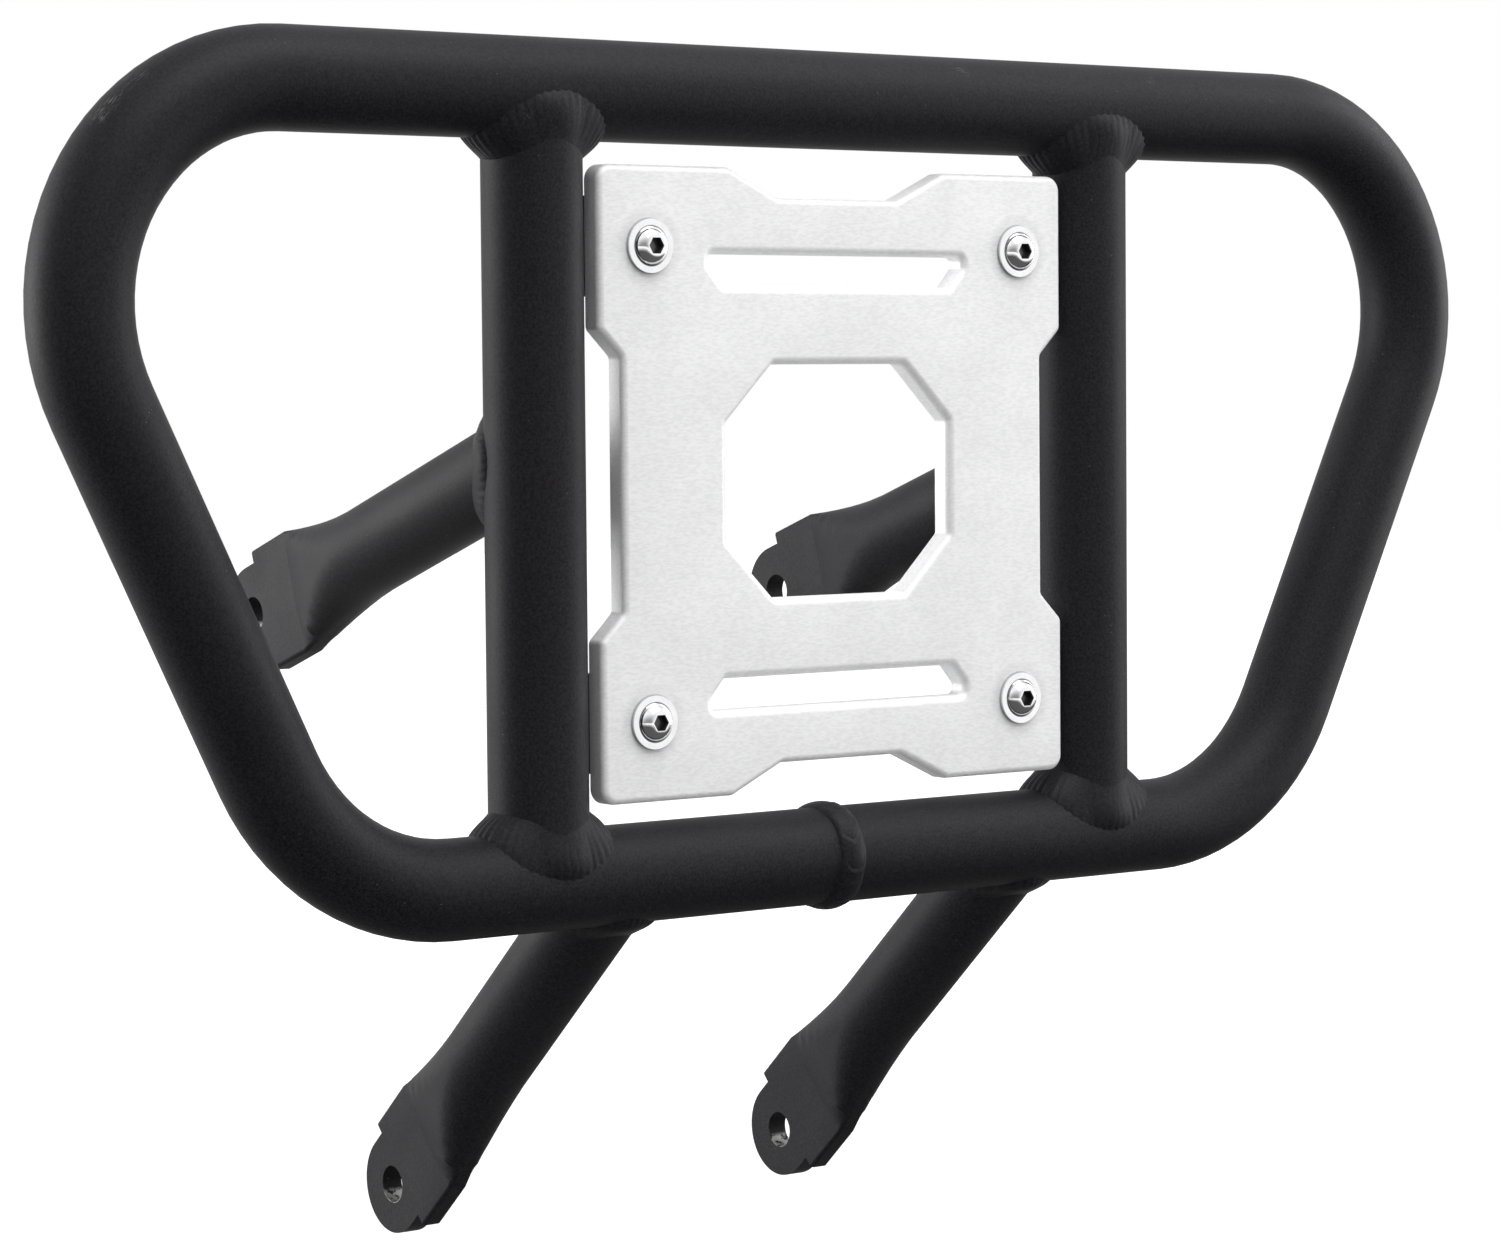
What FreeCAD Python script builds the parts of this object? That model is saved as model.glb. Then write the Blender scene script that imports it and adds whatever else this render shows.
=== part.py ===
import FreeCAD, Part

import math
import os
import Sketcher

# Front bumper for a quad bike: a welded tube frame with a plate screwed to its front.
# Millimetres. +X is to the right in a front view, +Y runs back towards the machine and +Z
# is up. The bumper is the same on both sides of X = 0. It is drawn about the middle of the
# hoop's bottom run, and its finished pieces are then moved so that the origin is on the axis
# of the lower legs' bolt holes, halfway between the two.

Vector = FreeCAD.Vector

# Driving sizes: alias, value, what it measures
SIZES = [
    ("tube_diameter", 25.4, "outside diameter of the hoop and upright tube"),
    ("tube_wall", 3.0, "wall of the hoop and upright tube"),
    ("hoop_width", 457.0, "overall width of the hoop"),
    ("hoop_rise", 197.0, "from the centre line of the bottom run to that of the top run"),
    ("side_angle", 64.0, "slope of the hoop's sides, degrees from level"),
    ("top_bend_radius", 54.0, "centre line radius of the two top bends"),
    ("bottom_bend_radius", 57.0, "centre line radius of the two bottom bends"),
    ("root_gap", 2.4, "gap between the hoop's two ends, filled by the butt weld"),
    ("butt_weld_width", 8.0, "width of the butt weld's cap"),
    ("butt_weld_crown", 2.0, "height of the butt weld's cap over the tube"),
    ("upright_inset", 138.5, "from the hoop's outer side to an upright's centre line"),
    ("leg_diameter", 23.8, "outside diameter of the leg tubes"),
    ("leg_wall", 3.0, "wall of the leg tubes"),
    ("upper_leg_rise", 8.5, "where the upper legs meet the uprights, above the hoop's middle"),
    ("upper_leg_drop", 18.8, "slope of the upper legs, degrees below level"),
    ("upper_leg_reach", 141.0, "along an upper leg, from the upright's centre line to its hole"),
    ("lower_leg_inset", 23.5, "from an upright's centre line in to a lower leg's"),
    ("lower_leg_drop", 42.2, "slope of the lower legs, degrees below level"),
    ("lower_leg_reach", 139.8, "along a lower leg, from the bottom run's centre line to its hole"),
    ("leg_hole", 10.0, "diameter of the bolt holes in the legs"),
    ("ear_end_radius", 13.4, "radius of the punched end round the bolt hole"),
    ("ear_shoulder", 5.0, "from the hole back to the shoulders that the punch leaves"),
    ("ear_length", 22.5, "from the hole back to the middle of the pressing's crease"),
    ("press_length", 36.0, "length over which the round tube changes to the flat ear"),
    ("fold_radius", 1.1, "outer radius of the folds along the flat ear's two sides"),
    ("upright_weld_leg", 6.0, "leg of the fillet welds at the uprights' ends"),
    ("leg_weld_leg", 5.0, "leg of the fillet welds at the legs' roots"),
    ("weld_crown", 0.6, "height of the beads' crown over the line between their toes"),
    ("weld_throat", 2.0, "least thickness of the beads, where the two tubes run side by side"),
    ("weld_ease", 4.0, "how far the beads round off the saddle where the tubes run side by side"),
    ("plate_side_gap", 1.3, "between the front plate and the outside of each upright"),
    ("plate_end_gap", 5.8, "between the front plate's ends and the hoop's runs"),
    ("plate_thickness", 6.0, "thickness of the front plate"),
    ("plate_corner_radius", 4.0, "radius of the plate's four corners"),
    ("plate_edge_radius", 1.8, "rounding of the plate's front edge"),
    ("side_recess_depth", 7.0, "depth of the long recess in each side edge"),
    ("side_recess_share", 0.4, "length of its floor, as a share of the plate's height"),
    ("side_recess_slope", 7.0, "height of its sloped ends"),
    ("end_recess_depth", 7.5, "depth of the recess in the top and the bottom edge"),
    ("end_recess_share", 0.257, "length of its floor, as a share of the plate's width"),
    ("end_slope_share", 0.104, "width of its sloped ends, as a share of the plate's width"),
    ("slot_inset", 26.0, "from the plate's end to the middle of the slot next to it"),
    ("slot_share", 0.69, "length of each slot's outer side, as a share of the screws' spacing"),
    ("slot_end_slope", 4.4, "how much shorter the slot's inner side is at each end"),
    ("slot_height", 8.1, "height of each slot"),
    ("slot_end_height", 3.0, "height of the square part of each slot's ends"),
    ("window_width_share", 0.48, "width of the plate's window, as a share of its width"),
    ("window_height_share", 0.375, "height of that window, as a share of the plate's height"),
    ("window_corner", 15.0, "size of its cut corners"),
    ("opening_corner_radius", 1.6, "radius of the corners of the slots and the window"),
    ("opening_edge_radius", 2.2, "rounding of the front edges of the slots and the window"),
    ("screw_side_margin", 15.5, "from the plate's side to the screws"),
    ("screw_end_margin", 20.25, "from the plate's end to the screws"),
    ("screw_diameter", 6.0, "thread diameter of the screws"),
    ("screw_hole", 6.6, "clearance hole for the screws in the plate and the tabs"),
    ("screw_length", 20.0, "length of the screws under the head"),
    ("flange_diameter", 13.6, "diameter of the screw head's flange"),
    ("flange_thickness", 0.9, "thickness of the flange at its rim"),
    ("dome_diameter", 10.0, "diameter of the dome on the flange"),
    ("head_height", 3.3, "height of the whole screw head"),
    ("socket_width", 4.0, "hexagon socket across its flats"),
    ("socket_depth", 2.0, "depth of the socket"),
    ("nut_width", 10.0, "nut across its flats"),
    ("nut_height", 5.0, "height of the nut"),
    ("nut_clearance", 0.05, "play between the nut's bore and the screw"),
    ("tab_thickness", 5.0, "thickness of the tabs behind the plate"),
    ("tab_height", 25.0, "height of each tab"),
    ("tab_margin", 9.0, "from the screw to the tab's free edge"),
    ("tab_corner_radius", 5.0, "radius of the tab's two free corners"),
    ("tab_weld_radius", 3.0, "bead between a tab and its upright, on the rear side"),
    ("tab_weld_margin", 2.0, "how far the bead stops short of the tab's ends"),
]

document = FreeCAD.newDocument("FrontBumper")
sheet = document.addObject("Spreadsheet::Sheet", "Sizes")
for row, (alias, value, note) in enumerate(SIZES, start=1):
    sheet.set("A{}".format(row), alias)
    sheet.set("B{}".format(row), str(value))
    sheet.setAlias("B{}".format(row), alias)
    sheet.set("C{}".format(row), note)
document.recompute()


derived = {}


def size(alias):
    """The present value of a driving size, or of a size derived from them."""
    return derived[alias][0] if alias in derived else float(sheet.get(alias))


def cell(alias):
    """The expression for a driving size, or for a size derived from them."""
    return derived[alias][1] if alias in derived else "Sizes." + alias


def term(*parts):
    """A length as a sum of factors times named sizes: its value now and its expression."""
    value = sum(factor * size(alias) for factor, alias in parts)
    text = " + ".join("({}) * {}".format(factor, cell(alias)) for factor, alias in parts)
    return value, text


def derive(name, *parts, share=None):
    """Name a sum of sizes, or a share of that sum, so that it is used as a size itself."""
    value, text = term(*parts)
    if share:
        value = value * size(share)
        text = "({}) * {}".format(text, cell(share))
    derived[name] = (value, "({})".format(text))


derive("upright_spacing", (1, "hoop_width"), (-2, "upright_inset"))
derive("lower_leg_spacing", (1, "upright_spacing"), (-2, "lower_leg_inset"))
derive("upper_leg_height", (0.5, "hoop_rise"), (1, "upper_leg_rise"))
derive("plate_width", (1, "upright_spacing"), (-1, "tube_diameter"), (-2, "plate_side_gap"))
derive("plate_height", (1, "hoop_rise"), (-1, "tube_diameter"), (-2, "plate_end_gap"))
derive("side_recess_length", (1, "plate_height"), share="side_recess_share")
derive("end_recess_length", (1, "plate_width"), share="end_recess_share")
derive("end_recess_slope", (1, "plate_width"), share="end_slope_share")
derive("slot_offset", (0.5, "plate_height"), (-1, "slot_inset"))
derive("window_width", (1, "plate_width"), share="window_width_share")
derive("window_height", (1, "plate_height"), share="window_height_share")
derive("screw_spacing_across", (1, "plate_width"), (-2, "screw_side_margin"))
derive("screw_spacing_up", (1, "plate_height"), (-2, "screw_end_margin"))
derive("slot_length", (1, "screw_spacing_across"), share="slot_share")
derive("slot_short_length", (1, "slot_length"), (-2, "slot_end_slope"))


# Sketch helpers

def plane(body, role):
    """One of the body's own origin planes."""
    return [item for item in body.Origin.OriginFeatures if item.Role == role][0]


def new_sketch(body, name, role, offset=None):
    """A sketch on one of the body's planes, moved along the plane's normal by an expression."""
    sketch = body.newObject("Sketcher::SketchObject", name)
    sketch.AttachmentSupport = (plane(body, role), [""])
    sketch.MapMode = "FlatFace"
    if offset:
        sketch.setExpression("AttachmentOffset.Base.z", offset)
    return sketch


def bind(sketch, kind, places, length):
    """A dimension of the sketch, bound to a length made by term()."""
    value, text = length
    index = sketch.addConstraint(Sketcher.Constraint(kind, *places, value))
    sketch.setExpression("Constraints[{}]".format(index), text)


def draw_polygon(sketch, points):
    """A closed outline of straight lines, each corner placed by two terms."""
    first = sketch.GeometryCount
    corners = [Vector(x[0], y[0], 0) for x, y in points]
    count = len(corners)
    for index, corner in enumerate(corners):
        following = corners[(index + 1) % count]
        sketch.addGeometry(Part.LineSegment(corner, following), False)
    for index, (x, y) in enumerate(points):
        line = first + index
        before = first + (index - 1) % count
        sketch.addConstraint(Sketcher.Constraint("Coincident", before, 2, line, 1))
        bind(sketch, "DistanceX", (-1, 1, line, 1), x)
        bind(sketch, "DistanceY", (-1, 1, line, 1), y)


def draw_circle(sketch, radius, x=None, y=None):
    """A circle about the sketch's origin, or about a point placed by two terms."""
    centre = Vector(x[0] if x else 0, y[0] if y else 0, 0)
    line = sketch.addGeometry(Part.Circle(centre, Vector(0, 0, 1), radius[0]), False)
    bind(sketch, "Radius", (line,), radius)
    if x:
        bind(sketch, "DistanceX", (-1, 1, line, 3), x)
        bind(sketch, "DistanceY", (-1, 1, line, 3), y)
    else:
        sketch.addConstraint(Sketcher.Constraint("Coincident", line, 3, -1, 1))


def mirrored(body, name, feature, role):
    """The same cut again on the other side of one of the body's planes."""
    mirror = body.newObject("PartDesign::Mirrored", name)
    mirror.Originals = [feature]
    mirror.MirrorPlane = (plane(body, role), [""])
    body.Tip = mirror
    return mirror


def pocket_through(body, name, sketch):
    """A cut through the whole body, both ways from the sketch."""
    pocket = body.newObject("PartDesign::Pocket", name)
    pocket.Profile = sketch
    pocket.Type = "ThroughAll"
    pocket.Midplane = True
    return pocket


# Solid helpers

def cylinder(name, radius, height, centre, axis, middle=True):
    """A cylinder with bound sizes and place, along the X, Y or Z axis."""
    turns = {
        "X": FreeCAD.Rotation(Vector(0, 1, 0), 90),
        "Y": FreeCAD.Rotation(Vector(-1, 0, 0), 90),
        "Z": FreeCAD.Rotation(),
    }
    solid = document.addObject("Part::Cylinder", name)
    solid.setExpression("Radius", radius)
    solid.setExpression("Height", height)
    solid.Placement = FreeCAD.Placement(Vector(0, 0, 0), turns[axis])
    for letter, place in zip("XYZ", centre):
        shift = " - ({}) / 2".format(height) if middle and letter == axis else ""
        solid.setExpression("Placement.Base." + letter.lower(), "({}){}".format(place, shift))
    return solid


def cut(name, base, tool):
    result = document.addObject("Part::Cut", name)
    result.Base = base
    result.Tool = tool
    return result


def fuse(name, solids):
    result = document.addObject("Part::MultiFuse", name)
    result.Shapes = solids
    return result


SIDES = (("left", -1), ("right", 1))
ENDS = (("lower", 0), ("upper", 1))
ZERO = "0"
TUBE_RADIUS = "Sizes.tube_diameter / 2"
LEG_RADIUS = "Sizes.leg_diameter / 2"
LOWER_HOLE_BACK = "Sizes.lower_leg_reach * cos(Sizes.lower_leg_drop * 1 deg)"
LOWER_HOLE_DOWN = "Sizes.lower_leg_reach * sin(Sizes.lower_leg_drop * 1 deg)"
nodes = []


def keep(node, name, back=ZERO, up=ZERO):
    """Name a finished sub-part, and move it from where it is drawn to its place."""
    node.Label = name
    node.setExpression("Placement.Base.y", "{} - {}".format(back, LOWER_HOLE_BACK))
    node.setExpression("Placement.Base.z", "{} + {}".format(up, LOWER_HOLE_DOWN))
    nodes.append(node)
    return node


# Hoop: one bent tube, open by the root gap in the middle of its bottom run

def hoop_path(sketch):
    """The hoop's centre line, tangent lines and arcs, from one side of the gap to the other."""
    rise = size("hoop_rise")
    angle = math.radians(size("side_angle"))
    top_radius = size("top_bend_radius")
    bottom_radius = size("bottom_bend_radius")
    gap = size("root_gap") / 2
    top_x = size("hoop_width") / 2 - size("tube_diameter") / 2 - top_radius
    side = Vector(math.cos(angle), math.sin(angle), 0)
    outward = Vector(math.sin(angle), -math.cos(angle), 0)
    top_centre = Vector(top_x, rise - top_radius, 0)
    top_touch = top_centre + outward * top_radius
    bottom_inner = (top_touch - outward * bottom_radius)
    run = (bottom_inner.y - bottom_radius) / side.y
    bottom_centre = bottom_inner - side * run
    bottom_touch = bottom_centre + outward * bottom_radius

    def mirror(point):
        return Vector(-point.x, point.y, 0)

    def line(start, end):
        return sketch.addGeometry(Part.LineSegment(start, end), False)

    def bend(centre, radius, start, end):
        curve = Part.Circle(centre, Vector(0, 0, 1), radius)
        return sketch.addGeometry(Part.ArcOfCircle(curve, start, end), False)

    quarter = math.pi / 2
    lean = angle - quarter
    bottom_right = line(Vector(gap, 0, 0), Vector(bottom_centre.x, 0, 0))
    low_right = bend(bottom_centre, bottom_radius, -quarter, lean)
    side_right = line(bottom_touch, top_touch)
    high_right = bend(top_centre, top_radius, lean, quarter)
    top = line(Vector(top_centre.x, rise, 0), Vector(-top_centre.x, rise, 0))
    high_left = bend(mirror(top_centre), top_radius, quarter, math.pi - lean)
    side_left = line(mirror(top_touch), mirror(bottom_touch))
    low_left = bend(mirror(bottom_centre), bottom_radius, math.pi - lean, 3 * quarter)
    bottom_left = line(Vector(-bottom_centre.x, 0, 0), Vector(-gap, 0, 0))

    joints = [
        (bottom_right, 2, low_right, 1), (low_right, 2, side_right, 1),
        (side_right, 2, high_right, 1), (high_right, 2, top, 1),
        (top, 2, high_left, 1), (high_left, 2, side_left, 1),
        (side_left, 2, low_left, 1), (low_left, 2, bottom_left, 1),
    ]
    for joint in joints:
        sketch.addConstraint(Sketcher.Constraint("Tangent", *joint))
    for flat in (bottom_right, bottom_left):
        sketch.addConstraint(Sketcher.Constraint("Horizontal", flat))
    sketch.addConstraint(Sketcher.Constraint("PointOnObject", bottom_right, 1, -1))
    sketch.addConstraint(Sketcher.Constraint("Symmetric", bottom_right, 1, bottom_left, 2, -2))
    sketch.addConstraint(Sketcher.Constraint("Symmetric", high_right, 3, high_left, 3, -2))
    sketch.addConstraint(Sketcher.Constraint("Symmetric", low_right, 3, low_left, 3, -2))
    sketch.addConstraint(Sketcher.Constraint("Equal", high_right, high_left))
    bind(sketch, "Radius", (high_right,), term((1, "top_bend_radius")))
    bind(sketch, "Radius", (low_right,), term((1, "bottom_bend_radius")))
    bind(sketch, "DistanceX", (-1, 1, bottom_right, 1), term((0.5, "root_gap")))
    bind(sketch, "DistanceY", (-1, 1, top, 1), term((1, "hoop_rise")))
    bind(sketch, "DistanceX", (-1, 1, high_right, 3),
         term((0.5, "hoop_width"), (-0.5, "tube_diameter"), (-1, "top_bend_radius")))
    index = sketch.addConstraint(Sketcher.Constraint("Angle", -1, 1, side_right, 1, angle))
    sketch.setExpression("Constraints[{}]".format(index), "Sizes.side_angle * 1 deg")
    return sketch.GeometryCount


def make_hoop():
    body = document.addObject("PartDesign::Body", "HoopTube")
    path = new_sketch(body, "HoopPath", "XZ_Plane")
    edges = hoop_path(path)
    section = new_sketch(body, "HoopSection", "YZ_Plane", "Sizes.root_gap / 2")
    draw_circle(section, term((0.5, "tube_diameter")))
    draw_circle(section, term((0.5, "tube_diameter"), (-1, "tube_wall")))
    document.recompute()
    pipe = body.newObject("PartDesign::AdditivePipe", "HoopBend")
    pipe.Profile = section
    pipe.Spine = (path, ["Edge{}".format(index + 1) for index in range(edges)])
    body.Tip = pipe
    return keep(body, "hoop_tube")


def make_butt_weld():
    """A ring in the hoop's gap, down to the tube's bore, with a crowned cap outside."""
    body = document.addObject("PartDesign::Body", "ButtWeld")
    sketch = new_sketch(body, "ButtWeldProfile", "XZ_Plane")
    outer = size("tube_diameter") / 2
    inner = outer - size("tube_wall")
    crown = outer + size("butt_weld_crown")
    gap = size("root_gap") / 2
    cap = size("butt_weld_width") / 2
    corners = [Vector(cap, outer, 0), Vector(gap, outer, 0), Vector(gap, inner, 0),
               Vector(-gap, inner, 0), Vector(-gap, outer, 0), Vector(-cap, outer, 0)]
    for start, end in zip(corners, corners[1:]):
        sketch.addGeometry(Part.LineSegment(start, end), False)
    for index in range(4):
        sketch.addConstraint(Sketcher.Constraint("Coincident", index, 2, index + 1, 1))
    arc = sketch.addGeometry(Part.Arc(corners[0], Vector(0, crown, 0), corners[-1]), False)
    sketch.addConstraint(Sketcher.Constraint("Coincident", arc, 1, 0, 1))
    sketch.addConstraint(Sketcher.Constraint("Coincident", arc, 2, 4, 2))
    top = sketch.addGeometry(Part.Point(Vector(0, crown, 0)), True)
    sketch.addConstraint(Sketcher.Constraint("PointOnObject", top, 1, -2))
    sketch.addConstraint(Sketcher.Constraint("PointOnObject", top, 1, arc))
    bind(sketch, "DistanceY", (-1, 1, top, 1),
         term((0.5, "tube_diameter"), (1, "butt_weld_crown")))
    places = [
        (0, 1, (0.5, "butt_weld_width"), True), (1, 1, (0.5, "root_gap"), True),
        (2, 1, (0.5, "root_gap"), False), (3, 1, (-0.5, "root_gap"), False),
        (4, 1, (-0.5, "root_gap"), True), (4, 2, (-0.5, "butt_weld_width"), True),
    ]
    for line, point, half, outside in places:
        level = [(0.5, "tube_diameter")] + ([] if outside else [(-1, "tube_wall")])
        bind(sketch, "DistanceX", (-1, 1, line, point), term(half))
        bind(sketch, "DistanceY", (-1, 1, line, point), term(*level))
    document.recompute()
    ring = body.newObject("PartDesign::Revolution", "ButtWeldRing")
    ring.Profile = sketch
    ring.ReferenceAxis = (sketch, ["H_Axis"])
    ring.Angle = 360
    body.Tip = ring
    return keep(body, "butt_weld")


# Uprights: straight tubes, coped at both ends to the hoop's runs

def upright_centre(sign):
    return "{} * {} / 2".format(sign, cell("upright_spacing"))


def hoop_run(name, level):
    """The outside of the hoop's bottom or top run, as a tool that copes what meets it."""
    return cylinder(name, TUBE_RADIUS, "Sizes.hoop_width", (ZERO, ZERO, level), "X")


def make_upright(side, sign):
    centre = (upright_centre(sign), ZERO, "Sizes.hoop_rise / 2")
    title = side.title()
    shell = cylinder("UprightShell" + title, TUBE_RADIUS, "Sizes.hoop_rise", centre, "Z")
    bore = cylinder("UprightBore" + title, TUBE_RADIUS + " - Sizes.tube_wall",
                    "Sizes.hoop_rise", centre, "Z")
    runs = fuse("UprightCope" + title, [
        hoop_run("UprightBottomRun" + title, ZERO),
        hoop_run("UprightTopRun" + title, "Sizes.hoop_rise"),
    ])
    tube = cut("UprightTube" + title, shell, bore)
    return keep(cut("Upright" + title, tube, runs), "upright_" + side)


# Legs: tubes pressed flat at the far end, punched round and drilled for a bolt.
# A leg is drawn along its own Z, with its flat ear in its own YZ plane.

# Half sizes of the tube and of the ear: two walls pressed together, about as wide as the
# length of the tube's wall allows
TUBE_HALF = [(0.5, "leg_diameter")]
EAR_HALF_THICKNESS = [(1, "leg_wall")]
EAR_HALF_WIDTH = [(math.pi / 4, "leg_diameter"), (1 - math.pi / 2, "leg_wall")]
FOLD = [(1, "fold_radius")]
# Where the pressing's sections are drawn, as shares of its length from the round tube
PRESS_STATIONS = (0.2, 0.35, 0.5, 0.65, 0.8, 1.0)
# How gently the tube starts to change: 1 would be a straight taper with an edge at its start
PRESS_EASE = 1.6


def blend(share, start, end):
    """The length that lies the given share of the way from one length to another."""
    return ([((1 - share) * factor, alias) for factor, alias in start]
            + [(share * factor, alias) for factor, alias in end])


def less(parts, other):
    return parts + [(-factor, alias) for factor, alias in other]


def draw_ellipse(sketch, long_half, short_half):
    """An ellipse about the origin, its long axis along the sketch's Y."""
    shape = Part.Ellipse(Vector(0, long_half[0], 0), Vector(short_half[0], 0, 0), Vector(0, 0, 0))
    curve = sketch.addGeometry(shape, False)
    sketch.exposeInternalGeometry(curve)
    sketch.addConstraint(Sketcher.Constraint("Coincident", curve, 3, -1, 1))
    long_axis = curve + 1
    short_axis = curve + 2
    sketch.addConstraint(Sketcher.Constraint("Vertical", long_axis))
    bind(sketch, "Distance", (long_axis,), (2 * long_half[0], "2 * ({})".format(long_half[1])))
    bind(sketch, "Distance", (short_axis,), (2 * short_half[0], "2 * ({})".format(short_half[1])))


def draw_press_section(sketch, share):
    """A section of the pressing: a rectangle with round corners, thin along the sketch's X."""
    flattened = share ** PRESS_EASE
    thickness = blend(flattened, TUBE_HALF, EAR_HALF_THICKNESS)
    width = blend(flattened, TUBE_HALF, EAR_HALF_WIDTH)
    corner = blend(flattened, TUBE_HALF, FOLD)
    radius = term(*corner)
    beside = term(*less(thickness, corner))
    above = term(*less(width, corner))
    quarters = ((1, 1), (-1, 1), (-1, -1), (1, -1))
    arcs = []
    for index, (x_sign, y_sign) in enumerate(quarters):
        circle = Part.Circle(Vector(x_sign * beside[0], y_sign * above[0], 0),
                             Vector(0, 0, 1), radius[0])
        start = index * math.pi / 2
        arc = Part.ArcOfCircle(circle, start, start + math.pi / 2)
        arcs.append(sketch.addGeometry(arc, False))
    outer_x = beside[0] + radius[0]
    outer_y = above[0] + radius[0]
    sides = (
        (Vector(beside[0], outer_y, 0), Vector(-beside[0], outer_y, 0), "Horizontal"),
        (Vector(-outer_x, above[0], 0), Vector(-outer_x, -above[0], 0), "Vertical"),
        (Vector(-beside[0], -outer_y, 0), Vector(beside[0], -outer_y, 0), "Horizontal"),
        (Vector(outer_x, -above[0], 0), Vector(outer_x, above[0], 0), "Vertical"),
    )
    for index, (start, end, direction) in enumerate(sides):
        line = sketch.addGeometry(Part.LineSegment(start, end), False)
        following = arcs[(index + 1) % len(arcs)]
        sketch.addConstraint(Sketcher.Constraint("Tangent", arcs[index], 2, line, 1))
        sketch.addConstraint(Sketcher.Constraint("Tangent", line, 2, following, 1))
        sketch.addConstraint(Sketcher.Constraint(direction, line))
    for arc in arcs[1:]:
        sketch.addConstraint(Sketcher.Constraint("Equal", arcs[0], arc))
    sketch.addConstraint(Sketcher.Constraint("Symmetric", arcs[0], 3, arcs[2], 3, -1, 1))
    bind(sketch, "Radius", (arcs[0],), radius)
    bind(sketch, "DistanceX", (-1, 1, arcs[0], 3), beside)
    bind(sketch, "DistanceY", (-1, 1, arcs[0], 3), above)


def draw_punch(sketch, reach):
    """What the punch cuts away: all beyond the shoulders but a tongue with a round end."""
    radius = size("ear_end_radius")
    hole = size(reach)
    shoulder = hole - size("ear_shoulder")
    left = sketch.addGeometry(Part.LineSegment(Vector(-radius, shoulder, 0), Vector(-radius, hole, 0)))
    tip = sketch.addGeometry(Part.ArcOfCircle(
        Part.Circle(Vector(0, hole, 0), Vector(0, 0, 1), radius), 0, math.pi))
    right = sketch.addGeometry(Part.LineSegment(Vector(radius, hole, 0), Vector(radius, shoulder, 0)))
    outside = 2 * radius
    beyond = hole + outside
    corners = [Vector(radius, shoulder, 0), Vector(outside, shoulder, 0),
               Vector(outside, beyond, 0), Vector(-outside, beyond, 0),
               Vector(-outside, shoulder, 0), Vector(-radius, shoulder, 0)]
    edges = [sketch.addGeometry(Part.LineSegment(start, end))
             for start, end in zip(corners, corners[1:])]
    sketch.addConstraint(Sketcher.Constraint("Tangent", right, 1, tip, 1))
    sketch.addConstraint(Sketcher.Constraint("Tangent", left, 2, tip, 2))
    sketch.addConstraint(Sketcher.Constraint("Coincident", right, 2, edges[0], 1))
    sketch.addConstraint(Sketcher.Constraint("Coincident", edges[4], 2, left, 1))
    for first, second in zip(edges, edges[1:]):
        sketch.addConstraint(Sketcher.Constraint("Coincident", first, 2, second, 1))
    for flat in (edges[0], edges[4]):
        sketch.addConstraint(Sketcher.Constraint("Horizontal", flat))
    for upright in (left, edges[1], edges[3]):
        sketch.addConstraint(Sketcher.Constraint("Vertical", upright))
    sketch.addConstraint(Sketcher.Constraint("PointOnObject", tip, 3, -2))
    sketch.addConstraint(Sketcher.Constraint("Symmetric", edges[1], 2, edges[3], 1, -2))
    sketch.addConstraint(Sketcher.Constraint("Symmetric", left, 1, right, 2, -2))
    bind(sketch, "Radius", (tip,), term((1, "ear_end_radius")))
    bind(sketch, "DistanceY", (-1, 1, tip, 3), term((1, reach)))
    bind(sketch, "DistanceY", (-1, 1, left, 1), term((1, reach), (-1, "ear_shoulder")))
    bind(sketch, "DistanceY", (-1, 1, edges[1], 2), term((1, reach), (2, "ear_end_radius")))
    bind(sketch, "DistanceX", (-1, 1, edges[1], 2), term((2, "ear_end_radius")))


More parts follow.
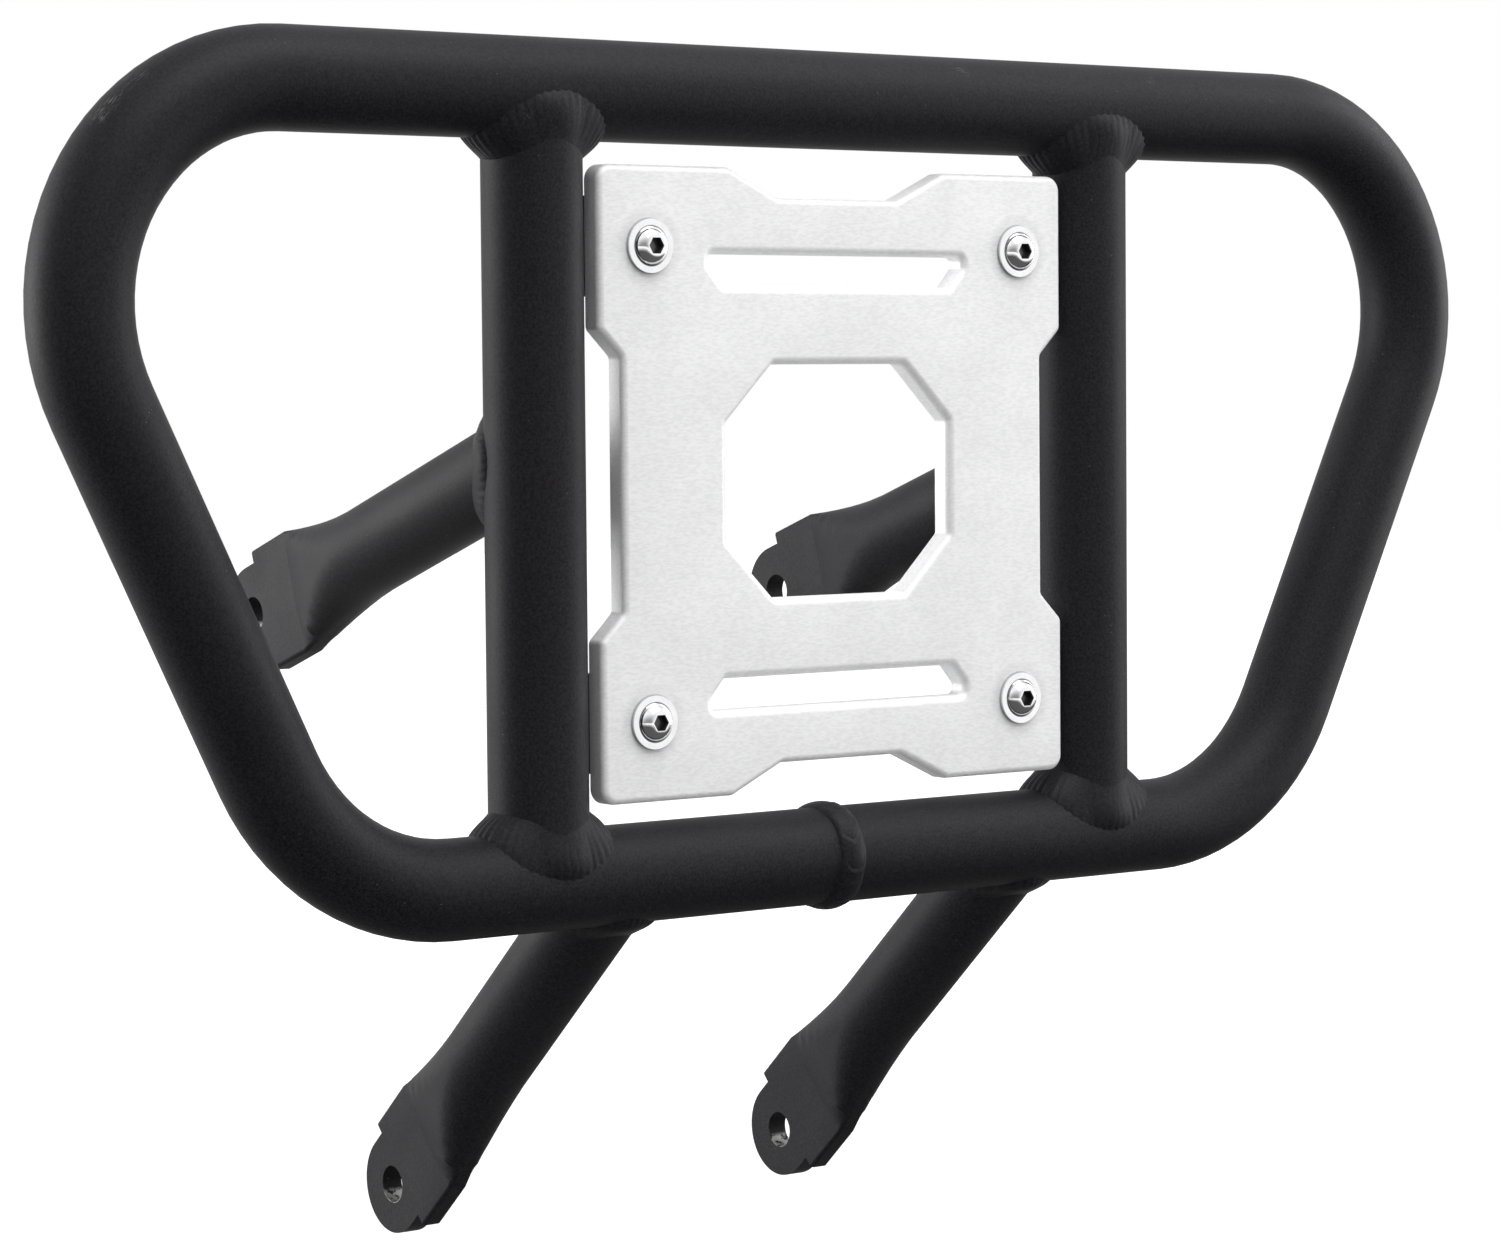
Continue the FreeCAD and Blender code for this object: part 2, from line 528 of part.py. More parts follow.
def leg_body(name, reach):
    """One leg along its own Z, from the centre line of the tube that carries it."""
    crease = "(Sizes.{} - Sizes.ear_length)".format(reach)
    press_start = "({} - Sizes.press_length)".format(crease)
    body = document.addObject("PartDesign::Body", name)

    ring = new_sketch(body, name + "Ring", "XY_Plane")
    draw_circle(ring, term((0.5, "leg_diameter")))
    document.recompute()
    tube = body.newObject("PartDesign::Pad", name + "Tube")
    tube.Profile = ring
    tube.setExpression("Length", press_start)

    round_end = new_sketch(body, name + "RoundEnd", "XY_Plane", press_start)
    draw_circle(round_end, term((0.5, "leg_diameter")))
    sections = []
    for number, share in enumerate(PRESS_STATIONS, start=1):
        place = "{} + {} * Sizes.press_length".format(press_start, share)
        section = new_sketch(body, "{}Press{}".format(name, number), "XY_Plane", place)
        draw_press_section(section, share)
        sections.append(section)
    document.recompute()
    taper = body.newObject("PartDesign::AdditiveLoft", name + "Taper")
    taper.Profile = round_end
    taper.Sections = sections
    taper.Ruled = True
    ear = body.newObject("PartDesign::Pad", name + "Ear")
    ear.Profile = sections[-1]
    ear.setExpression("Length", "Sizes.ear_length + 2 * Sizes.ear_end_radius")

    bore_ring = new_sketch(body, name + "Bore", "XY_Plane")
    draw_circle(bore_ring, term((0.5, "leg_diameter"), (-1, "leg_wall")))
    document.recompute()
    bore = body.newObject("PartDesign::Pocket", name + "BoreCut")
    bore.Profile = bore_ring
    bore.Reversed = True
    bore.setExpression("Length", press_start)

    bore_end = new_sketch(body, name + "BoreEnd", "XY_Plane", press_start)
    draw_circle(bore_end, term((0.5, "leg_diameter"), (-1, "leg_wall")))
    pinch = new_sketch(body, name + "Pinch", "XY_Plane", crease + " - Sizes.leg_wall")
    draw_ellipse(pinch, term(*less(EAR_HALF_WIDTH, EAR_HALF_THICKNESS)), term((0.1, "leg_wall")))
    document.recompute()
    hollow = body.newObject("PartDesign::SubtractiveLoft", name + "Hollow")
    hollow.Profile = bore_end
    hollow.Sections = [pinch]
    hollow.Ruled = True

    punch = new_sketch(body, name + "Punch", "YZ_Plane")
    draw_punch(punch, reach)
    document.recompute()
    pocket_through(body, name + "PunchCut", punch)

    hole = new_sketch(body, name + "Hole", "YZ_Plane")
    line = hole.addGeometry(Part.Circle(Vector(0, size(reach), 0), Vector(0, 0, 1),
                                        size("leg_hole") / 2), False)
    hole.addConstraint(Sketcher.Constraint("PointOnObject", line, 3, -2))
    bind(hole, "Radius", (line,), term((0.5, "leg_hole")))
    bind(hole, "DistanceY", (-1, 1, line, 3), term((1, reach)))
    document.recompute()
    body.Tip = pocket_through(body, name + "HoleCut", hole)
    return body


def place_leg(body, x, height, drop):
    """Turn a leg from its own Z to run back and down, and move its root to its place."""
    body.Placement = FreeCAD.Placement(Vector(0, 0, 0), FreeCAD.Rotation(Vector(-1, 0, 0), 100))
    body.setExpression("Placement.Base.x", x)
    body.setExpression("Placement.Base.z", height)
    body.setExpression("Placement.Rotation.Angle", "90 + Sizes.{}".format(drop))


def make_upper_leg(side, sign):
    name = "UpperLeg" + side.title()
    body = leg_body(name, "upper_leg_reach")
    place_leg(body, upright_centre(sign), cell("upper_leg_height"), "upper_leg_drop")
    centre = (upright_centre(sign), ZERO, "Sizes.hoop_rise / 2")
    upright = cylinder(name + "Cope", TUBE_RADIUS, "Sizes.hoop_rise", centre, "Z")
    return keep(cut(name + "Coped", body, upright), "upper_leg_" + side)


def lower_leg_centre(sign):
    return "{} * {} / 2".format(sign, cell("lower_leg_spacing"))


def make_lower_leg(side, sign):
    name = "LowerLeg" + side.title()
    body = leg_body(name, "lower_leg_reach")
    place_leg(body, lower_leg_centre(sign), ZERO, "lower_leg_drop")
    return keep(cut(name + "Coped", body, hoop_run(name + "Cope", ZERO)), "lower_leg_" + side)


# Ring welds: a bead in the corner where a branch tube meets a main tube. It is built of
# flat facets between sections set out round the branch, then cut to fit both tubes.

WELD_STATIONS = 24
BEAD_PROFILE = ((0.25, 0.75), (0.5, 1.0), (0.75, 0.75))
TOE_SINK = 0.02
ROOT_DEPTH = 2.5


def weld_corner(turn, foot, main, branch, main_radius, branch_radius):
    """The point at one turn round the branch where the tubes meet, with the peaks eased."""
    across = main.cross(branch)
    across.normalize()
    along = branch.cross(across)
    rim = (across * math.cos(turn) + along * math.sin(turn)) * branch_radius
    slant = branch - main * branch.dot(main)
    flat = rim - main * rim.dot(main)
    square = slant.dot(slant)
    lean = flat.dot(slant)
    rest = flat.dot(flat) - main_radius ** 2 - size("weld_ease") ** 2
    travel = (-lean + math.sqrt(lean ** 2 - square * rest)) / square
    return foot + rim + branch * travel, rim


def weld_section(turn, foot, main, branch, main_radius, branch_radius, leg):
    """The bead's outline at one turn: its root, its toe on the main tube, face and other toe."""
    tubes = (foot, main, branch, main_radius, branch_radius)
    corner, rim = weld_corner(turn, *tubes)
    heading = weld_corner(turn + 0.01, *tubes)[0] - weld_corner(turn - 0.01, *tubes)[0]
    up = branch - main * branch.dot(main)
    up.normalize()
    beside = main.cross(up)
    place = corner - foot
    distance = place.dot(main)
    arc = main_radius * math.atan2(place.dot(beside), place.dot(up))
    reach = 1 + leg / math.hypot(distance, arc)
    angle = arc * reach / main_radius
    shell = (up * math.cos(angle) + beside * math.sin(angle)) * main_radius
    main_toe = foot + main * distance * reach + shell * (1 - TOE_SINK)
    branch_toe = corner + branch * leg - rim * TOE_SINK
    chord = branch_toe - main_toe
    outward = heading.cross(chord)
    outward.normalize()
    if outward.dot(rim) + outward.dot(up) < 0:
        outward = outward * -1
    depth = (main_toe + chord * 0.5 - corner).dot(outward)
    bulge = max(size("weld_crown"), size("weld_throat") - depth)
    face = [main_toe + chord * part + outward * bulge * height for part, height in BEAD_PROFILE]
    return [corner - outward * ROOT_DEPTH, main_toe] + face + [branch_toe]


def ring_weld(name, label, foot, main, branch, branch_radius, leg):
    """The bead round one joint, outside both tubes."""
    main_radius = size("tube_diameter") / 2
    sections = [weld_section(2 * math.pi * step / WELD_STATIONS, foot, main, branch,
                             main_radius, branch_radius, leg)
                for step in range(WELD_STATIONS)]
    facets = []
    for step, section in enumerate(sections):
        following = sections[(step + 1) % WELD_STATIONS]
        for index, corner in enumerate(section):
            other = (index + 1) % len(section)
            for triangle in ((corner, following[index], following[other]),
                             (corner, following[other], section[other])):
                facets.append(Part.Face(Part.makePolygon([*triangle, corner])))
    solid = Part.Solid(Part.Shell(facets))
    length = size("hoop_rise")
    solid = solid.cut(Part.makeCylinder(main_radius, 2 * length, foot - main * length, main))
    solid = solid.cut(Part.makeCylinder(branch_radius, length, foot, branch))
    feature = document.addObject("Part::Feature", name)
    feature.Shape = max(solid.Solids, key=lambda item: item.Volume)
    return keep(feature, label)


def make_upright_weld(side, sign, end, level):
    """The weld at the lower or upper end of one upright."""
    foot = Vector(sign * size("upright_spacing") / 2, 0, level * size("hoop_rise"))
    ring_weld("UprightWeld" + end.title() + side.title(),
              "upright_weld_{}_{}".format(end, side),
              foot, Vector(1, 0, 0), Vector(0, 0, 1 - 2 * level),
              size("tube_diameter") / 2, size("upright_weld_leg"))


def make_leg_weld(kind, side, foot, main):
    """The weld at the root of one leg."""
    drop = math.radians(size(kind + "_leg_drop"))
    ring_weld("{}LegWeld{}".format(kind.title(), side.title()),
              "{}_leg_weld_{}".format(kind, side),
              foot, main, Vector(0, math.cos(drop), -math.sin(drop)),
              size("leg_diameter") / 2, size("leg_weld_leg"))


# Tabs: flat lugs on the uprights' inner sides, behind the plate's corners

def end_sign(level):
    return 2 * level - 1


def screw_across(sign):
    return "{} * {} / 2".format(sign, cell("screw_spacing_across"))


def screw_height(level):
    return "Sizes.hoop_rise / 2 + {} * {} / 2".format(end_sign(level), cell("screw_spacing_up"))


def make_tab(side, sign, end, level):
    """A lug with its inner corners rounded, its outer edge shaped to the upright's tube."""
    name = "Tab" + end.title() + side.title()
    body = document.addObject("PartDesign::Body", name + "Body")
    outline = new_sketch(body, name + "Outline", "XZ_Plane")
    inner = term((sign * 0.5, "screw_spacing_across"), (-sign, "tab_margin"))
    outer = term((sign * 0.5, "upright_spacing"))
    low = term((-0.5, "tab_height"))
    high = term((0.5, "tab_height"))
    draw_polygon(outline, [(inner, low), (outer, low), (outer, high), (inner, high)])
    document.recompute()
    pad = body.newObject("PartDesign::Pad", name + "Pad")
    pad.Profile = outline
    pad.Midplane = True
    pad.setExpression("Length", "Sizes.tab_thickness")
    document.recompute()
    corners = [
        "Edge{}".format(number) for number, edge in enumerate(pad.Shape.Edges, start=1)
        if abs(abs(edge.tangentAt(edge.FirstParameter).y) - 1) < 1e-6
        and abs(edge.CenterOfMass.x - inner[0]) < 1e-6
    ]
    rounding = body.newObject("PartDesign::Fillet", name + "Corners")
    rounding.Base = (pad, corners)
    rounding.setExpression("Radius", "Sizes.tab_corner_radius")
    document.recompute()
    drill = new_sketch(body, name + "Drill", "XZ_Plane")
    line = drill.addGeometry(Part.Circle(Vector(sign * size("screw_spacing_across") / 2, 0, 0),
                                         Vector(0, 0, 1), size("screw_hole") / 2), False)
    drill.addConstraint(Sketcher.Constraint("PointOnObject", line, 3, -1))
    bind(drill, "Radius", (line,), term((0.5, "screw_hole")))
    bind(drill, "DistanceX", (-1, 1, line, 3), term((sign * 0.5, "screw_spacing_across")))
    document.recompute()
    body.Tip = pocket_through(body, name + "Hole", drill)
    body.setExpression("Placement.Base.z", screw_height(level))
    centre = (upright_centre(sign), ZERO, "Sizes.hoop_rise / 2")
    upright = cylinder(name + "Cope", TUBE_RADIUS, "Sizes.hoop_rise", centre, "Z")
    return keep(cut(name, body, upright), "tab_{}_{}".format(end, side))


def make_tab_weld(side, sign, end, level):
    """A straight bead in the corner between a tab's rear face and its upright."""
    name = "TabWeld" + end.title() + side.title()
    corner = "{} - {} * sqrt(({}) ^ 2 - (Sizes.tab_thickness / 2) ^ 2)".format(
        upright_centre(sign), sign, TUBE_RADIUS)
    height = "(Sizes.tab_height - 2 * Sizes.tab_weld_margin)"
    middle = screw_height(level)
    bead = cylinder(name + "Bead", "Sizes.tab_weld_radius", height,
                    (corner, "Sizes.tab_thickness / 2", middle), "Z")
    upright = cylinder(name + "Upright", TUBE_RADIUS, "Sizes.hoop_rise",
                       (upright_centre(sign), ZERO, "Sizes.hoop_rise / 2"), "Z")
    tab = document.addObject("Part::Box", name + "Tab")
    tab.setExpression("Length", cell("upright_spacing"))
    tab.setExpression("Width", "Sizes.tab_thickness")
    tab.setExpression("Height", "Sizes.hoop_rise")
    tab.setExpression("Placement.Base.x", upright_centre(-1))
    tab.setExpression("Placement.Base.y", "-Sizes.tab_thickness / 2")
    carriers = fuse(name + "Carriers", [upright, tab])
    return keep(cut(name, bead, carriers), "tab_weld_{}_{}".format(end, side))


# Front plate, drawn about its own middle, its back face in its own XZ plane

def make_plate():
    body = document.addObject("PartDesign::Body", "FrontPlate")
    outline = new_sketch(body, "PlateOutline", "XZ_Plane")
    right = term((0.5, "plate_width"))
    left = term((-0.5, "plate_width"))
    top = term((0.5, "plate_height"))
    low = term((-0.5, "plate_height"))
    draw_polygon(outline, [(left, low), (right, low), (right, top), (left, top)])
    document.recompute()
    pad = body.newObject("PartDesign::Pad", "PlateBlank")
    pad.Profile = outline
    pad.setExpression("Length", "Sizes.plate_thickness")
    document.recompute()

    side = new_sketch(body, "SideRecess", "XZ_Plane")
    floor = term((0.5, "plate_width"), (-1, "side_recess_depth"))
    outside = term((0.5, "plate_width"), (1, "side_recess_depth"))
    slope = [(0.5, "side_recess_length"), (1, "side_recess_slope")]
    flare = [(0.5, "side_recess_length"), (2, "side_recess_slope")]
    draw_polygon(side, [
        (floor, term((-0.5, "side_recess_length"))),
        (outside, term(*[(-factor, alias) for factor, alias in flare])),
        (outside, term(*flare)),
        (floor, term((0.5, "side_recess_length"))),
    ])
    document.recompute()
    side_cut = pocket_through(body, "SideRecessCut", side)
    document.recompute()
    mirrored(body, "SideRecessMirror", side_cut, "YZ_Plane")

    ends = new_sketch(body, "EndRecess", "XZ_Plane")
    floor = term((0.5, "plate_height"), (-1, "end_recess_depth"))
    outside = term((0.5, "plate_height"), (1, "end_recess_depth"))
    flare = [(0.5, "end_recess_length"), (2, "end_recess_slope")]
    draw_polygon(ends, [
        (term((0.5, "end_recess_length")), floor),
        (term(*flare), outside),
        (term(*[(-factor, alias) for factor, alias in flare]), outside),
        (term((-0.5, "end_recess_length")), floor),
    ])
    document.recompute()
    end_cut = pocket_through(body, "EndRecessCut", ends)
    document.recompute()
    mirrored(body, "EndRecessMirror", end_cut, "XY_Plane")

    slot = new_sketch(body, "Slot", "XZ_Plane")
    outer_side = term((1, "slot_offset"), (0.5, "slot_height"))
    knee = term((1, "slot_offset"), (0.5, "slot_height"), (-1, "slot_end_height"))
    inner_side = term((1, "slot_offset"), (-0.5, "slot_height"))
    draw_polygon(slot, [
        (term((0.5, "slot_length")), outer_side),
        (term((-0.5, "slot_length")), outer_side),
        (term((-0.5, "slot_length")), knee),
        (term((-0.5, "slot_short_length")), inner_side),
        (term((0.5, "slot_short_length")), inner_side),
        (term((0.5, "slot_length")), knee),
    ])
    document.recompute()
    slot_cut = pocket_through(body, "SlotCut", slot)
    document.recompute()
    mirrored(body, "SlotMirror", slot_cut, "XY_Plane")

    window = new_sketch(body, "Window", "XZ_Plane")
    half_width = [(0.5, "window_width")]
    half_height = [(0.5, "window_height")]
    corner = [(-1, "window_corner")]

    def at(x_sign, x_parts, y_sign, y_parts):
        return (term(*[(x_sign * factor, alias) for factor, alias in x_parts]),
                term(*[(y_sign * factor, alias) for factor, alias in y_parts]))

    draw_polygon(window, [
        at(1, half_width + corner, -1, half_height), at(1, half_width, -1, half_height + corner),
        at(1, half_width, 1, half_height + corner), at(1, half_width + corner, 1, half_height),
        at(-1, half_width + corner, 1, half_height), at(-1, half_width, 1, half_height + corner),
        at(-1, half_width, -1, half_height + corner), at(-1, half_width + corner, -1, half_height),
    ])
    document.recompute()
    window_cut = pocket_through(body, "WindowCut", window)
    document.recompute()

    def upright_edges(shape, test):
        """Names of the edges that run through the plate and pass the test."""
        return ["Edge{}".format(number) for number, edge in enumerate(shape.Edges, start=1)
                if abs(abs(edge.tangentAt(edge.FirstParameter).y) - 1) < 1e-6
                and test(edge.CenterOfMass)]

    def is_corner(point):
        return (abs(abs(point.x) - size("plate_width") / 2) < 1e-6
                and abs(abs(point.z) - size("plate_height") / 2) < 1e-6)

    def is_outline(point):
        beside = size("plate_width") / 2 - size("side_recess_depth") - 1e-6
        above = size("plate_height") / 2 - size("end_recess_depth") - 1e-6
        return not is_corner(point) and (abs(point.x) > beside or abs(point.z) > above)

    def is_opening(point):
        beside = size("slot_length") / 2 + 1e-6
        above = size("slot_offset") + size("slot_height") / 2 + 1e-6
        return abs(point.x) < beside and abs(point.z) < above

    corners = body.newObject("PartDesign::Fillet", "PlateCorners")
    corners.Base = (window_cut, upright_edges(window_cut.Shape, is_corner))
    corners.setExpression("Radius", "Sizes.plate_corner_radius")
    document.recompute()
    knees = body.newObject("PartDesign::Fillet", "PlateKnees")
    knees.Base = (corners, upright_edges(corners.Shape, is_outline))
    knees.setExpression("Radius", "Sizes.plate_corner_radius / 2")
    document.recompute()
    bends = body.newObject("PartDesign::Fillet", "OpeningCorners")
    bends.Base = (knees, upright_edges(knees.Shape, is_opening))
    bends.setExpression("Radius", "Sizes.opening_corner_radius")
    document.recompute()

    def front_face(shape):
        """The largest face that looks forward."""
        faces = [face for face in shape.Faces
                 if face.normalAt(0, 0).y < -0.99 and face.Surface.TypeId == "Part::GeomPlane"]
        return max(faces, key=lambda face: face.Area)

    def edge_names(shape, wires):
        wanted = [edge for wire in wires for edge in wire.Edges]
        return ["Edge{}".format(number) for number, edge in enumerate(shape.Edges, start=1)
                if any(edge.isSame(other) for other in wanted)]

    face = front_face(bends.Shape)
    inner = [wire for wire in face.Wires if not wire.isSame(face.OuterWire)]
    lips = body.newObject("PartDesign::Fillet", "OpeningLips")
    lips.Base = (bends, edge_names(bends.Shape, inner))
    lips.setExpression("Radius", "Sizes.opening_edge_radius")
    document.recompute()
    face = front_face(lips.Shape)
    rim = body.newObject("PartDesign::Fillet", "PlateRim")
    rim.Base = (lips, edge_names(lips.Shape, [face.OuterWire]))
    rim.setExpression("Radius", "Sizes.plate_edge_radius")
    document.recompute()

    drill = new_sketch(body, "PlateDrill", "XZ_Plane")
    for _, x_sign in SIDES:
        for _, level in ENDS:
            draw_circle(drill, term((0.5, "screw_hole")),
                        term((0.5 * x_sign, "screw_spacing_across")),
                        term((0.5 * end_sign(level), "screw_spacing_up")))
    document.recompute()
    body.Tip = pocket_through(body, "PlateHoles", drill)
    return keep(body, "front_plate", "-Sizes.tab_thickness / 2", "Sizes.hoop_rise / 2")


# Fasteners: four flanged button head screws and their nuts

# The dome's flat top and the radius of its curve, as shares of the dome's diameter
DOME_FLAT = 0.55
DOME_CURVE = 0.4
# A point on that curve, as shares of the dome's radius and height
DOME_SHOULDER = (0.9, 0.62)
# How far the nut's corners are turned off, as a share of what they stand proud
NUT_CHAMFER = 0.8

def make_screw(number, sign, level):
    """One screw along its own Z, head up, the underside of its flange at Z = 0."""
    name = "Screw{}".format(number)
    body = document.addObject("PartDesign::Body", name)
    profile = new_sketch(body, name + "Profile", "XZ_Plane")
    flange = size("flange_diameter") / 2
    dome = size("dome_diameter") / 2
    thread = size("screw_diameter") / 2
    rim = size("flange_thickness")
    top = size("head_height")
    crown = dome * DOME_FLAT
    corners = [Vector(0, top, 0), Vector(0, -size("screw_length"), 0),
               Vector(thread, -size("screw_length"), 0), Vector(thread, 0, 0),
               Vector(flange, 0, 0), Vector(flange, rim, 0), Vector(dome, rim, 0)]
    for start, end in zip(corners, corners[1:]):
        profile.addGeometry(Part.LineSegment(start, end), False)
    flat = profile.addGeometry(Part.LineSegment(Vector(crown, top, 0), corners[0]), False)
    shoulder = Vector(dome * DOME_SHOULDER[0], rim + (top - rim) * DOME_SHOULDER[1], 0)
    arc = profile.addGeometry(Part.Arc(corners[-1], shoulder, Vector(crown, top, 0)), False)
    last = len(corners) - 2
    for line in range(last):
        profile.addConstraint(Sketcher.Constraint("Coincident", line, 2, line + 1, 1))
    profile.addConstraint(Sketcher.Constraint("Coincident", last, 2, arc, 1))
    profile.addConstraint(Sketcher.Constraint("Coincident", arc, 2, flat, 1))
    profile.addConstraint(Sketcher.Constraint("Coincident", flat, 2, 0, 1))
    profile.addConstraint(Sketcher.Constraint("PointOnObject", 0, 1, -2))
    profile.addConstraint(Sketcher.Constraint("PointOnObject", 0, 2, -2))
    profile.addConstraint(Sketcher.Constraint("Horizontal", flat))
    bind(profile, "DistanceY", (-1, 1, 0, 1), term((1, "head_height")))
    bind(profile, "DistanceY", (-1, 1, 0, 2), term((-1, "screw_length")))
    for line, across, up in (
            (1, [(0.5, "screw_diameter")], [(-1, "screw_length")]),
            (3, [(0.5, "flange_diameter")], None),
            (4, [(0.5, "flange_diameter")], [(1, "flange_thickness")]),
            (5, [(0.5, "dome_diameter")], [(1, "flange_thickness")])):
        bind(profile, "DistanceX", (-1, 1, line, 2), term(*across))
        if up:
            bind(profile, "DistanceY", (-1, 1, line, 2), term(*up))
    profile.addConstraint(Sketcher.Constraint("PointOnObject", 2, 2, -1))
    bind(profile, "DistanceX", (-1, 1, 2, 2), term((0.5, "screw_diameter")))
    profile.addConstraint(Sketcher.Constraint("PointOnObject", 3, 2, -1))
    bind(profile, "DistanceX", (-1, 1, flat, 1), term((DOME_FLAT / 2, "dome_diameter")))
    bind(profile, "Radius", (arc,), term((DOME_CURVE, "dome_diameter")))
    document.recompute()
    turned = body.newObject("PartDesign::Revolution", name + "Turned")
    turned.Profile = profile
    turned.ReferenceAxis = (profile, ["V_Axis"])
    turned.Angle = 360
    document.recompute()
    socket = new_sketch(body, name + "Socket", "XY_Plane", "Sizes.head_height - Sizes.socket_depth")
    reach = size("socket_width") / math.sqrt(3)
    ends = [Vector(reach * math.cos(math.pi / 3 * step), reach * math.sin(math.pi / 3 * step), 0)
            for step in range(6)]
    for step in range(6):
        socket.addGeometry(Part.LineSegment(ends[step], ends[(step + 1) % 6]), False)
    circle = socket.addGeometry(Part.Circle(Vector(0, 0, 0), Vector(0, 0, 1), reach), True)
    socket.addConstraint(Sketcher.Constraint("Coincident", circle, 3, -1, 1))
    for step in range(6):
        socket.addConstraint(Sketcher.Constraint("Coincident", step, 2, (step + 1) % 6, 1))
        socket.addConstraint(Sketcher.Constraint("PointOnObject", step, 1, circle))
    for step in range(5):
        socket.addConstraint(Sketcher.Constraint("Equal", step, step + 1))
    socket.addConstraint(Sketcher.Constraint("PointOnObject", 0, 1, -1))
    bind(socket, "Radius", (circle,), term((1 / math.sqrt(3), "socket_width")))
    document.recompute()
    broached = body.newObject("PartDesign::Pocket", name + "Broached")
    broached.Profile = socket
    broached.Reversed = True
    broached.setExpression("Length", "Sizes.socket_depth")
    body.Tip = broached
    body.Placement = FreeCAD.Placement(Vector(0, 0, 0), FreeCAD.Rotation(Vector(1, 0, 0), 90))
    body.setExpression("Placement.Base.x", screw_across(sign))
    body.setExpression("Placement.Base.y", "-Sizes.tab_thickness / 2 - Sizes.plate_thickness")
    body.setExpression("Placement.Base.z", screw_height(level))
    return body


def make_nut(number, sign, level):
    """One hexagon nut on the rear face of its tab, with its corners turned off."""
    name = "Nut{}".format(number)
    corner = "Sizes.nut_width / sqrt(3)"
    prism = document.addObject("Part::Prism", name + "Prism")
    prism.Polygon = 6
    prism.setExpression("Circumradius", corner)
    prism.setExpression("Height", "Sizes.nut_height")
    blank = document.addObject("Part::Cylinder", name + "Blank")
    blank.setExpression("Radius", corner)
    blank.setExpression("Height", "Sizes.nut_height")
    document.recompute()
    turned = document.addObject("Part::Chamfer", name + "Turned")
    turned.Base = blank
    chamfer = (size("nut_width") / math.sqrt(3) - size("nut_width") / 2) * NUT_CHAMFER
    turned.Edges = [(rim, chamfer / 2, chamfer)
                    for rim, edge in enumerate(blank.Shape.Edges, start=1)
                    if edge.Curve.TypeId == "Part::GeomCircle"]
    shape = document.addObject("Part::MultiCommon", name + "Shape")
    shape.Shapes = [prism, turned]
    bore = document.addObject("Part::Cylinder", name + "Bore")
    bore.setExpression("Radius", "Sizes.screw_diameter / 2 + Sizes.nut_clearance")
    bore.setExpression("Height", "Sizes.nut_height")
    nut = cut(name, shape, bore)
    nut.Placement = FreeCAD.Placement(Vector(0, 0, 0), FreeCAD.Rotation(Vector(-1, 0, 0), 90))
    nut.setExpression("Placement.Base.x", screw_across(sign))
    nut.setExpression("Placement.Base.y", "Sizes.tab_thickness / 2")
    nut.setExpression("Placement.Base.z", screw_height(level))
    return nut


def group(name, label, solids):
    """Identical fasteners, kept together as separate solids."""
    compound = document.addObject("Part::Compound", name)
    compound.Links = solids
    return keep(compound, label)


# The build

make_hoop()
make_butt_weld()
for side, sign in SIDES:
    make_upright(side, sign)
    make_upper_leg(side, sign)
    make_lower_leg(side, sign)
    upright_foot = Vector(sign * size("upright_spacing") / 2, 0, size("upper_leg_height"))
    make_leg_weld("upper", side, upright_foot, Vector(0, 0, 1))
    run_foot = Vector(sign * size("lower_leg_spacing") / 2, 0, 0)
    make_leg_weld("lower", side, run_foot, Vector(1, 0, 0))
    for end, level in ENDS:
        make_upright_weld(side, sign, end, level)
        make_tab(side, sign, end, level)
        make_tab_weld(side, sign, end, level)
make_plate()
corners_of_plate = [(sign, level) for _, sign in SIDES for _, level in ENDS]
group("PlateScrews", "plate_screws",
      [make_screw(number, *place) for number, place in enumerate(corners_of_plate, start=1)])
group("PlateNuts", "plate_nuts",
      [make_nut(number, *place) for number, place in enumerate(corners_of_plate, start=1)])

document.recompute()

failed = [item.Name for item in document.Objects
          if "Invalid" in item.State or "Error" in item.State]
if failed:
    raise RuntimeError("objects that failed: " + ", ".join(failed))
for node in nodes:
    if node.Shape.isNull() or not node.Shape.isValid():
        raise RuntimeError("no valid shape: " + node.Label)

os.makedirs("parts", exist_ok=True)
for node in nodes:
    node.Shape.exportStep("parts/{}.step".format(node.Label))
    print("{:26s} {:2d} solids {:10.1f} mm3".format(
        node.Label, len(node.Shape.Solids), node.Shape.Volume))
